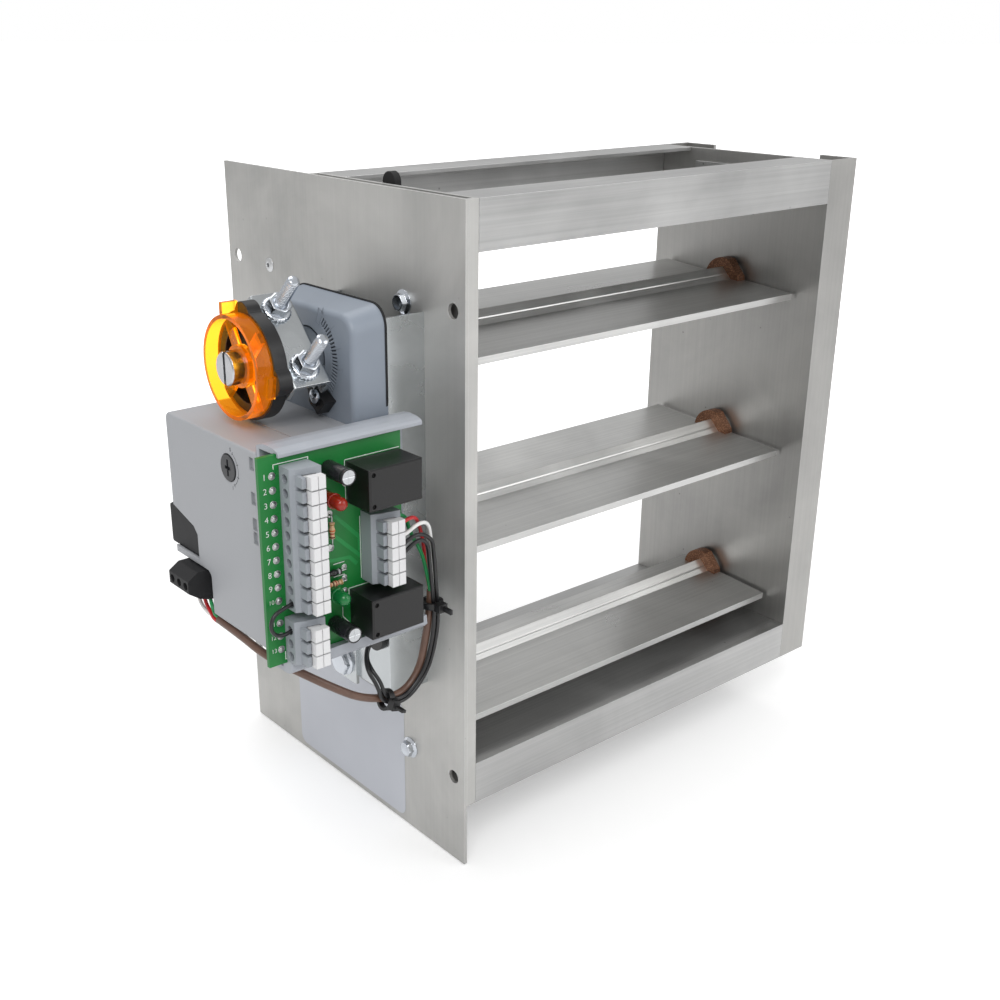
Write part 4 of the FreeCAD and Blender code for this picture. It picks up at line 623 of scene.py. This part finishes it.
s, path, tangent = u_path(PATH_ROWS)
to_end = np.minimum(s, s[-1] - s)[:, None]
t = np.arange(ROD_COLUMNS) * 2 * np.pi / ROD_COLUMNS
cut = STUD_THREAD * zigzag(s[:, None] / STUD_PITCH - t / (2 * np.pi)) * (to_end < THREAD_REACH)
radius = (STUD_R - cut) * np.clip(to_end / STUD_TIP, 0, 1) ** 0.25
across = np.cross(tangent, (1.0, 0.0, 0.0))
spoke = np.cos(t)[:, None] * np.array([1.0, 0, 0]) + np.sin(t)[:, None] * across[:, None]
clamp_parts = [about_shaft(path[:, None] + radius[..., None] * spoke)]
for side in (-1, 1):
    wave = zigzag(np.arange(NUT_COLUMNS) / NUT_COLUMNS * TEETH)
    tooth = np.array([0, 0, 0.35, 0.35, 0, 0])[:, None] * wave
    flange = (np.array([2.4, 5.1, 5.75, 5.8, 5.3, 4.75])[:, None] - tooth) * MM
    hexagon = hexed(np.array([4.7, 4.66, 4.66, 4.3, 3.75]) * MM, NUT_HEX, NUT_COLUMNS)
    bore = np.array([2.9, 2.4])[:, None] * MM * np.ones((1, NUT_COLUMNS))
    up = SEAT_UP + np.array([0, 0.02, 0.35, 0.8, 1.25, 1.5, 1.5, 1.8, 4.6, 5.2, 5.4, 5.4, 5.0]) * MM
    nut = rings(np.vstack([flange, hexagon, bore]), up, (BOLT_X, side * STUD_HALF, 0), (0, 0, 1), NUT_COLUMNS)
    clamp_parts.append(about_shaft(nut))
bolt_piece = mesh_piece("u_bolt_and_nuts", *skin(clamp_parts), ZINC_BRIGHT, "top_blade", "zinc_steel", 40)
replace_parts(bolt_piece, "clamp_bolt")


# Index ring and position dial: black nylon ring, and a clear orange cap that turns with it on the shaft
# The cap is moulded polycarbonate: light comes through it, and a faint glow stands for the light held in it
BLACK_NYLON = grainy("black_nylon", srgb(12, 12, 13), srgb(24, 24, 26), 0.42, 0.0, 900.0, 0.05)
dress(BLACK_NYLON, "index_ring", "end_stop", "cable_fixings")
orange, tree, shader = finish("orange_clear", Roughness=0.1, IOR=1.25, Transmission_Weight=1.0,
                              Emission_Strength=0.22, Emission_Color=srgb(255, 140, 10))
tone = blend_colour(tree, noise(tree, object_place(tree), 55.0, 2.0), srgb(255, 176, 34), srgb(255, 192, 62))
coat(tree, shader, tone, soft_edge(tree, 0.3 * MM)["Normal"])
dress(orange, "position_dial")


# Stop screw: a zinc-plated pan head with a cross recess, that holds the end stop
# The recess is where the head's height drops near either arm of the cross
STOP_SCREW, PAN_R, PAN_TALL, SKIRT = np.array([-41.9, -44.6, 67.3]) * MM, 2.7 * MM, 1.3 * MM, 0.4 * MM
ARM_REACH, ARM_HALF, RECESS = 1.3 * MM, 0.3 * MM, 0.9 * MM
grid_r, grid_t = np.linspace(0, 1, 22)[:, None], np.arange(96) * 2 * np.pi / 96
u, w = grid_r * np.cos(grid_t) * PAN_R, grid_r * np.sin(grid_t) * PAN_R


def from_arm(off, along):
    """Distance from one arm of the cross: how far off its line, plus 1.4 times how far past its reach."""
    return np.abs(off) + 1.4 * np.clip(np.abs(along) - ARM_REACH, 0, 1)


arm = np.minimum(from_arm(u, w), from_arm(w, u))
dome = PAN_TALL * np.sqrt(np.clip(1 - 0.8 * grid_r ** 2, 0, 1)) - RECESS * np.clip(1.5 - arm / ARM_HALF, 0, 1)
head = np.stack([STOP_SCREW[0] - dome, STOP_SCREW[1] + u, STOP_SCREW[2] + w], -1)
rim = head[-1:].copy()
rim[..., 0] = STOP_SCREW[0] + SKIRT
centre = np.broadcast_to(rim.mean(1, keepdims=True), rim.shape)
stop_screw = skin([np.concatenate([head, rim, centre])])
mesh_piece("stop_screw_head", *stop_screw, ZINC_BRIGHT, "frame", "zinc_steel", 30)


# Hub housing and casing: moulded in grey plastic with a fine spark texture
# The housing is a bluer grey with raised ticks over fine grooves painted dark as painted shade; the casing's
# top has a low panel
HOUSING = grainy("housing_grey", srgb(124, 132, 143), srgb(138, 146, 157), 0.4, 0.0, 1500.0, 0.06)
CASING = grainy("casing_grey", srgb(154, 156, 160), srgb(166, 168, 172), 0.46, 0.0, 1500.0, 0.07)
dress(HOUSING, "hub_housing")
dress(CASING, "actuator_casing")
dress(grainy("button_black", srgb(16, 16, 18), srgb(26, 26, 29), 0.62), "release_button", "terminal_plug")
dress(grainy("switch_dark", srgb(38, 39, 42), srgb(54, 55, 58), 0.4), "direction_switch")


def ribbon(points, width, level, thickness, axis=0):
    """A flat strip along a line of 2-D points, its corners mitred: each point moves half a width along the
    mean of its two runs' normals, divided by the cosine of half the turn."""
    p = np.asarray(points, float)
    run = np.diff(p, axis=0)
    run /= np.linalg.norm(run, axis=1, keepdims=True)
    normal = np.stack([-run[:, 1], run[:, 0]], -1)
    before, after = np.vstack([normal[:1], normal]), np.vstack([normal, normal[-1:]])
    mitre = before + after
    mitre *= width / np.maximum(1.0 + (before * after).sum(1, keepdims=True), 0.3) / 2
    return plated(np.vstack([p + mitre, (p - mitre)[::-1]]), axis, level, thickness)


def joined(parts):
    """Several (points, faces) pairs as one."""
    verts, faces, start = [], [], 0
    for points, polygons in parts:
        verts.append(points)
        faces += [[i + start for i in face] for face in polygons]
        start += len(points)
    return np.concatenate(verts), faces


def arc(centre, radius, first, last, steps=24):
    """Points of an arc in the (y, z) plane; angles in degrees from -Y, rising towards +Z."""
    a = np.radians(np.linspace(first, last, steps))
    return np.stack([centre[0] - radius * np.cos(a), centre[1] + radius * np.sin(a)], -1)


def tick(centre, inner, outer, degrees):
    """The two ends of a tick mark that points away from a centre; its radii are in millimetres."""
    return [arc(centre, r * MM, degrees, degrees, 1)[0] for r in (inner, outer)]


def numeral(text, size, place, material, name, turn):
    """A plain number from the built-in font, made a mesh, turned by a matrix and moved to its place."""
    words = bpy.data.curves.new(name, "FONT")
    words.body, words.size, words.extrude = text, size, 0.015 * MM
    words.align_x, words.align_y = "CENTER", "CENTER"
    holder = in_scene(name, words)
    bpy.context.view_layer.update()
    data = bpy.data.meshes.new_from_object(holder.evaluated_get(bpy.context.evaluated_depsgraph_get()))
    bpy.data.objects.remove(holder)
    data.transform(Matrix.Translation(place) @ turn.to_4x4())
    data.materials.clear()
    data.materials.append(material)
    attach(in_scene(name, data), "frame")


SHAFT_YZ, HOUSING_X, MARK, RAISED = (AXIS[1], AXIS[2]), -35.5 * MM, 0.3 * MM, 0.06 * MM
COMB_TICKS, COMB_STEP, COMB_FIRST, COMB_SUNK = 26, 4.4, -56, 0.4 * MM
mark_level, comb_level = HOUSING_X - 0.05 * MM, HOUSING_X + COMB_SUNK
marks = [ribbon(tick(SHAFT_YZ, 19.9, 22.6, degrees), MARK, mark_level, RAISED)
         for degrees in range(-50, 61, 22)]
loop = np.vstack([arc(SHAFT_YZ, 20.6 * MM, 58, 67, 8), arc(SHAFT_YZ, 14.6 * MM, 67, 58, 8)])
loop = np.vstack([loop, loop[:1]])
marks += [ribbon(half, MARK, mark_level, RAISED) for half in (loop[:9], loop[8:])]
# Painted shade: dark strips sunk in the housing's fine grooves stand for the shade in them
comb = [ribbon(tick(SHAFT_YZ, 15.6, 19.2, i * COMB_STEP + COMB_FIRST), 0.42 * MM, comb_level, RAISED)
        for i in range(COMB_TICKS)]
# One dark material for the casing's print and the painted shade in the housing's grooves
PRINT_AND_SHADE, tree, shader = finish("print_and_groove_shade", Roughness=0.5)
tone_drift = noise(tree, object_place(tree), 2500.0, 2.0)
tree.links.new(blend_colour(tree, tone_drift, srgb(40, 42, 46), srgb(66, 68, 73)), shader.inputs["Base Color"])
mesh_piece("scale_marks", *joined(marks), HOUSING, "frame")
mesh_piece("scale_shadow_lines", *joined(comb), PRINT_AND_SHADE, "frame")

casing_low, casing_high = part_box("actuator_casing")
PANEL_X, CORNER, PANEL_FAR, PANEL_NEAR_GAP = (-60.0, -40.4), 1.0, -9.0, 3.4
near = casing_low.y / MM + PANEL_NEAR_GAP
x_low, x_high = PANEL_X
panel = np.array([(x_low, near), (x_low, PANEL_FAR + CORNER), (x_low + CORNER, PANEL_FAR),
                  (x_high - CORNER, PANEL_FAR), (x_high, PANEL_FAR + CORNER), (x_high, near)]) * MM
mesh_piece("casing_top_panel", *plated(panel, 2, casing_high.z - 0.05 * MM, 0.4 * MM), CASING, "frame",
           "casing_plastic")

SWITCH_YZ, SWITCH_TURNS, INK = (-44.0 * MM, 47.3 * MM), (62, 22, -18, -58), 0.04 * MM
ink_level = casing_low.x - 0.03 * MM
dial_ink = [ribbon(arc(SWITCH_YZ, 6.9 * MM, SWITCH_TURNS[0], SWITCH_TURNS[-1]), 0.22 * MM, ink_level, INK)]
dial_ink += [ribbon(tick(SWITCH_YZ, 6.3, 7.6, degrees), MARK, ink_level, INK) for degrees in SWITCH_TURNS]
mesh_piece("switch_scale", *joined(dial_ink), PRINT_AND_SHADE, "frame")
FACE_LEFT = Matrix(((0, 0, -1), (-1, 0, 0), (0, 1, 0)))
for text, degrees in (("0", 74), ("1", -72)):
    y, z = arc(SWITCH_YZ, 7.6 * MM, degrees, degrees, 1)[0]
    numeral(text, 2.2 * MM, (ink_level, y, z), PRINT_AND_SHADE, f"switch_number_{text}", FACE_LEFT)


# Snap track and board: extruded grey PVC track, and a green board with traces, white lines and tinned pads
# The traces are copper under the mask, the white lines are screen printed, and the numbers are plain
dress(grainy("track_grey", srgb(152, 156, 163), srgb(166, 170, 177), 0.36, 0.0, 700.0, 0.05), "snap_track")
MASK, tree, shader = finish("solder_mask", Roughness=0.42)
place = object_place(tree)
weave = put(tree, "ShaderNodeTexWave", {"Vector": place, "Scale": 620.0, "Distortion": 0.4}).outputs["Fac"]
tone = blend_colour(tree, noise(tree, place, 70.0, 3.0), srgb(0, 98, 36), srgb(0, 122, 46))
coat(tree, shader, tone, relief(tree, weave, 0.12, 0.05 * MM))
dress(MASK, "circuit_board")
TRACE = grainy("masked_copper", srgb(12, 122, 52), srgb(28, 142, 70), 0.4, 0.0, 500.0, 0.03)
SCREEN_INK = grainy("screen_white", srgb(218, 222, 218), srgb(236, 238, 236), 0.55)
TIN = zinc("tinned_pad", srgb(150, 152, 152), srgb(214, 214, 212), 0.3, 500.0)
board_low, board_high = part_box("circuit_board")
face_y, left, top = board_low.y, board_low.x, board_high.z
OUT = (0, -1, 0)


def on_board(points):
    """(x, z) points in metres from distances in millimetres from the board's left and top edges."""
    return [(left + x * MM, top - z * MM) for x, z in points]


WHITE_LINES = [[(6.0, 5.0), (6.0, 3.4), (20.0, 3.4), (20.0, 5.0)], [(35.2, 7.9), (35.2, 24.5)],
               [(35.2, 7.9), (59.4, 7.9)], [(41.0, 30.6), (41.0, 55.2)], [(35.2, 57.9), (59.4, 57.9)],
               [(35.2, 57.9), (35.2, 64)], [(7.0, 56.6), (6.1, 57.6)],
               [(6.8, 74.5), (6.8, 77.6), (9.2, 77.6)],
               [(32.4, 15.2), (35.0, 17.8)], [(32.2, 64.5), (32.2, 68.4), (35.0, 71.8)],
               [(28.8, 46.6), (33.6, 46.6)], [(28.8, 51.6), (33.6, 51.6)]]
TRACES = [[(30.1, 28.0), (40.6, 38.6), (40.6, 44.0)], [(28.0, 34.0), (41.0, 46.4)],
          [(27.3, 44.8), (36.0, 45.6), (39.2, 49.0)], [(27.6, 61.0), (31.0, 57.6), (31.0, 54.0)]]
ink = [ribbon(on_board(line), 0.32 * MM, face_y - 0.02 * MM, 0.025 * MM, 1) for line in WHITE_LINES]
copper = [ribbon(on_board(line), 1.5 * MM, face_y - 0.015 * MM, 0.02 * MM, 1) for line in TRACES]
mesh_piece("board_white_lines", *joined(ink), SCREEN_INK, "frame", "board")
mesh_piece("board_traces", *joined(copper), TRACE, "frame", "board")
PITCH, POLE_ACROSS, NUMBER_ACROSS = 5.2, 5.3, 2.3
POLE_DOWN = [7.3 + PITCH * i for i in range(10)] + [62.8 + PITCH * i for i in range(3)]
FACE_OUT = Matrix(((1, 0, 0), (0, 0, -1), (0, 1, 0)))
POLE_R = np.array([0, 0.5, 0.62, 0.75, 1.05, 1.3, 1.42, 1.42]) * MM
POLE_UP = np.array([0.62, 0.6, 0.45, 0.2, 0.14, 0.16, 0.08, -0.02]) * MM
PAD_R = np.array([0, 0.35, 0.5, 0.95, 1.0, 1.0]) * MM
PAD_UP = np.array([0.35, 0.3, 0.12, 0.08, 0.03, -0.02]) * MM
PADS = [(27.9, 26.7, 1.5), (28.0, 39.8, 1.5), (33.5, 48.8, 1.2), (33.5, 53.0, 1.2), (33.5, 58.2, 1.2)]
pads = []
for number, down in enumerate(POLE_DOWN, 1):
    (x, z), (number_x, _) = on_board([(POLE_ACROSS, down), (NUMBER_ACROSS, down)])
    pads.append(rings(POLE_R, POLE_UP, (x, face_y, z), OUT, 28))
    numeral(str(number), (3.1 if number < 10 else 2.3) * MM, (number_x, face_y - 0.02 * MM, z), SCREEN_INK,
            f"board_number_{number}", FACE_OUT)
for across, down, wide in PADS:
    (x, z), = on_board([(across, down)])
    pads.append(rings(PAD_R * wide, PAD_UP, (x, face_y, z), OUT, 28))
mesh_piece("tinned_pads", *skin(pads), TIN, "frame", "board")


# Strips, levers and relays: moulded terminal strips, white push levers and two black relays
# The levers are a harder white with a satin skin; each relay keeps its moulded case and two round dimples
dress(grainy("strip_grey", srgb(136, 141, 147), srgb(152, 157, 163), 0.42, 0.0, 1200.0, 0.05),
      "terminal_strips")
dress(grainy("lever_white", srgb(204, 204, 205), srgb(220, 220, 221), 0.38, 0.0, 900.0, 0.03),
      *(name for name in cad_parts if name.startswith("lever_")))
dress(grainy("relay_black", srgb(9, 9, 10), srgb(20, 19, 20), 0.38, 0.0, 1300.0, 0.06), "relays")


# Capacitors: aluminium cans in black shrink sleeve, soldered in the board
# The sleeve folds over the can's rim; the silver top is scored with a cross so that it can open
CAPACITORS = [(-58.4 * MM, 51.3 * MM), (-58.0 * MM, -9.4 * MM)]
SLEEVE = grainy("shrink_sleeve", srgb(18, 18, 20), srgb(34, 34, 37), 0.24, 0.0, 500.0, 0.02)
CAN_TOP = zinc("can_aluminium", srgb(176, 179, 183), srgb(214, 216, 218), 0.3, 220.0)
SLEEVE_UP = np.array([-0.02, 0.0, 0.35, 0.9, 10.7, 11.1, 11.35,
                      11.6, 12.0, 12.8, 13.12, 13.22, 13.12, 12.9]) * MM
SLEEVE_R = np.array([2.6, 2.95, 3.12, 3.15, 3.15, 3.05, 2.86,
                     3.05, 3.15, 3.15, 3.05, 2.85, 2.62, 2.6]) * MM
TOP_UP, TOP_R, SCORE, SCORE_HALF, BULGE = 12.98 * MM, 2.68 * MM, 0.14 * MM, 0.16 * MM, 0.06 / 3.15
TOP_ROWS, TOP_COLUMNS = 24, 96
grid_r = np.linspace(1, 0, TOP_ROWS)[:, None] * TOP_R
angle = np.arange(TOP_COLUMNS) * 2 * np.pi / TOP_COLUMNS
arm = np.minimum(np.abs(grid_r * np.cos(angle)), np.abs(grid_r * np.sin(angle)))
top_up = TOP_UP + BULGE * grid_r - SCORE * np.clip(1.6 - arm / SCORE_HALF, 0, 1) * (grid_r > 0)
sleeves, tops = [], []
for x, z in CAPACITORS:
    sleeves.append(rings(SLEEVE_R, SLEEVE_UP, (x, face_y, z), OUT))
    disc = rings(np.broadcast_to(grid_r, top_up.shape), np.zeros(TOP_ROWS), (x, face_y, z), OUT, TOP_COLUMNS)
    disc[..., 1] -= top_up
    skirt = rings([2.0 * MM, TOP_R], np.array([12.2, 12.4]) * MM, (x, face_y, z), OUT, TOP_COLUMNS)
    tops.append(np.concatenate([skirt, disc]))
cans = mesh_piece("capacitor_sleeves", *skin(sleeves), SLEEVE, "frame", "capacitor_can", 50)
mesh_piece("capacitor_tops", *skin(tops), CAN_TOP, "frame", "capacitor_can", 25)
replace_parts(cans, "capacitors")


# Lamps: two tinted epoxy bodies with a rim round the middle and a round dome, each on two tinned legs
# The epoxy is clouded: a third of the light passes it, and its colour drifts between two tints
LAMP_X, LAMP_R, DOME_FROM, DOME_TALL = -59.8 * MM, 2.5 * MM, 9.6 * MM, 0.92
LEG_SIDE, LEG_R, LEG_UP = 1.27 * MM, 0.28 * MM, 1.2 * MM
LAMPS = [("red", 40.8 * MM, (150, 24, 10), (196, 62, 40)), ("green", 4.3 * MM, (0, 104, 44), (30, 150, 78))]
curve = np.linspace(0, np.pi / 2, 9)
lamp_r = np.append([0, 0.94, 1.0, 1.0, 1.16, 1.16, 1.0], np.cos(curve)) * LAMP_R
lamp_up = np.append(np.array([0.3, 0.3, 0.6, 4.8, 4.9, 5.9, 6.0]) * MM,
                    DOME_FROM + LAMP_R * DOME_TALL * np.sin(curve))
for name, z, deep, pale in LAMPS:
    tint = grainy(f"lamp_{name}", srgb(*deep), srgb(*pale), 0.14, 0.0, 300.0, 0.01, clear=0.35)
    shell = skin([rings(lamp_r, lamp_up, (LAMP_X, face_y, z), OUT)])
    body = mesh_piece(f"lamp_{name}_body", *shell, tint, "frame", "lamp_plastic", 40)
    if name == "red":
        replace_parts(body, "indicator_lamps")
    legs = [rings([0, LEG_R, LEG_R, 0], np.array([-0.1 * MM, -0.1 * MM, LEG_UP, LEG_UP]),
                  (LAMP_X, face_y, z + side), OUT, 12) for side in (-LEG_SIDE, LEG_SIDE)]
    mesh_piece(f"lamp_{name}_legs", *skin(legs), TIN, "frame", "zinc_steel")


# Resistors and diode: a tan body with colour bands along the board, another across it, and a black diode
# The body swells at its ends where the caps are; the leads bend down into the pads
BANDS = {"brown": (92, 46, 22), "orange": (204, 92, 26), "red": (160, 34, 26), "gold": (150, 116, 48),
         "silver": (176, 178, 180)}
band_paint = {name: grainy(f"band_{name}", srgb(*(c * 0.9 for c in rgb)), srgb(*rgb), 0.35, 0.0, 700.0, 0.02)
              for name, rgb in BANDS.items()}
TAN = grainy("resistor_body", srgb(188, 150, 112), srgb(212, 176, 138), 0.36, 0.0, 900.0, 0.03)
GLASS = grainy("diode_body", srgb(22, 22, 24), srgb(40, 40, 42), 0.22, 0.0, 700.0, 0.02)
LEAD_R, LEAD_BEND, INTO_BODY, INTO_BOARD, PAINT = 0.3 * MM, 0.7 * MM, 0.3 * MM, 0.2 * MM, 0.03 * MM


def tube(points, radius, columns=12):
    """A round tube along points: each ring lies across the mean of its two runs; the ends close in a point."""
    run = np.gradient(points, axis=0)
    run /= np.linalg.norm(run, axis=1, keepdims=True)
    side = np.cross(run, (0.37, 0.21, 0.9))
    side /= np.linalg.norm(side, axis=1, keepdims=True)
    t = np.arange(columns) * 2 * np.pi / columns
    spoke = np.cos(t)[:, None] * side[:, None] + np.sin(t)[:, None] * np.cross(run, side)[:, None]
    hoops = points[:, None] + radius * spoke
    return np.concatenate([points[:1, None].repeat(columns, 1), hoops, points[-1:, None].repeat(columns, 1)])


def swollen(radius, u):
    """The radius at u, from -1 to 1 along the body: radius * (0.86 + 0.14 * cos of u whole turns)."""
    return radius * (0.86 + 0.14 * np.cos(2 * np.pi * u))


def lead_part(name, x, z, way, length, radius, body_paint, bands, reach):
    """A swollen body with bands, lying a way on the board, and two leads that bend down into it. A band is a
    colour, its middle and its width, both as shares of half the body's length."""
    way, middle = np.asarray(way, float), np.array([x, face_y - 1.9 * MM, z])
    u = np.linspace(-1, 1, 41)
    rounded_off = swollen(radius, u) * np.clip((1 - np.abs(u)) * 12, 0, 1) ** 0.5
    shell = rings(rounded_off, u * length / 2, middle, way, 28)
    mesh_piece(f"{name}_body", *skin([shell]), body_paint, "frame", angle=50)
    for number, (colour, at, wide) in enumerate(bands, 1):
        v = np.linspace(at - wide / 2, at + wide / 2, 5)
        hoop = swollen(radius, v) + PAINT
        hoop = np.concatenate([[hoop[0] - 0.2 * MM], hoop, [hoop[-1] - 0.2 * MM]])
        along = np.concatenate([[v[0]], v, [v[-1]]]) * length / 2
        mesh_piece(f"{name}_band_{number}", *skin([rings(hoop, along, middle, way, 28)]), band_paint[colour],
                   "frame", angle=50)
    leads = []
    for side in (-1, 1):
        inner, outer = middle + way * side * (length / 2 - INTO_BODY), middle + way * side * reach
        foot = outer + np.array([0, face_y - middle[1] + INTO_BOARD, 0])
        share = np.linspace(0, 1, 7)[:, None]
        start, end = outer - way * side * LEAD_BEND, outer + np.array([0, LEAD_BEND, 0])
        curve = (1 - share) ** 2 * start + 2 * share * (1 - share) * outer + share ** 2 * end
        leads.append(tube(np.vstack([inner, curve, foot]), LEAD_R))
    mesh_piece(f"{name}_leads", *skin(leads), TIN, "frame", "zinc_steel", 50)


ALONG_X, ALONG_Z = (1, 0, 0), (0, 0, 1)
lead_part("resistor_1", -58.8 * MM, 28.3 * MM, ALONG_Z, 6.4 * MM, 1.15 * MM, TAN,
          [("brown", -0.78, 0.16), ("red", -0.34, 0.14), ("orange", 0.02, 0.14), ("gold", 0.72, 0.14)],
          5.6 * MM)
lead_part("resistor_2", -58.4 * MM, 7.3 * MM, ALONG_X, 6.4 * MM, 1.15 * MM, TAN,
          [("orange", -0.74, 0.16), ("brown", -0.34, 0.14), ("red", 0.02, 0.14), ("brown", 0.36, 0.14),
           ("gold", 0.76, 0.12)], 5.5 * MM)
lead_part("diode", -58.7 * MM, 11.7 * MM, ALONG_X, 6.2 * MM, 1.3 * MM, GLASS, [("silver", 0.6, 0.2)],
          5.7 * MM)


# Rear shade line: a thin black strip round the hub housing's back, between it and its bracket, put as painted
# shade in the gap there
# It follows the housing's outline a third of a millimetre proud
housing_low, housing_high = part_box("hub_housing")
# One black material for the rubber humps and for the painted shade strip behind the housing
BLACK_RUBBER_AND_SHADE = grainy("black_rubber_and_shade_strip", srgb(16, 16, 17), srgb(28, 28, 30), 0.8, 0.0, 1200.0, 0.1)
PROUD, STRIP_THICK, STRIP_CORNER, STRIP_IN = 0.35 * MM, 0.8 * MM, 8.2 * MM, 0.9 * MM
strip_outline = rounded_outline((housing_low.y - PROUD, housing_low.z),
                       (housing_high.y + PROUD, housing_high.z + PROUD), STRIP_CORNER)
# Painted shade: a black strip where the gap behind the housing is in shade
mesh_piece("housing_shade_strip", *plated(strip_outline, 0, housing_high.x - STRIP_IN, STRIP_THICK), BLACK_RUBBER_AND_SHADE, "frame")


# Rubber humps: two black rubber pieces in the top channel that show above its lip
# Each is a flat bar with a round back, stuck to the channel's web by its foot
HUMP_Z, HUMP_HALF, HUMP_THICK, SUNK = 122.3 * MM, 4.0 * MM, 3 * MM, 0.05 * MM
HUMPS = [(8.0 * MM, -28.0 * MM, 21.6 * MM), (14.0 * MM, -20.0 * MM, 20.6 * MM)]
for number, (x, y, tall) in enumerate(HUMPS, 1):
    feet = np.array([(y - HUMP_HALF, HUMP_Z - SUNK), (y + HUMP_HALF, HUMP_Z - SUNK)])
    bend = np.linspace(0, np.pi, 20)
    back = np.stack([y + HUMP_HALF * np.cos(bend), HUMP_Z + tall - HUMP_HALF + HUMP_HALF * np.sin(bend)], -1)
    hump = plated(np.vstack([feet, back]), 0, x - HUMP_THICK / 2, HUMP_THICK)
    mesh_piece(f"rubber_hump_{number}", *hump, BLACK_RUBBER_AND_SHADE, "frame")
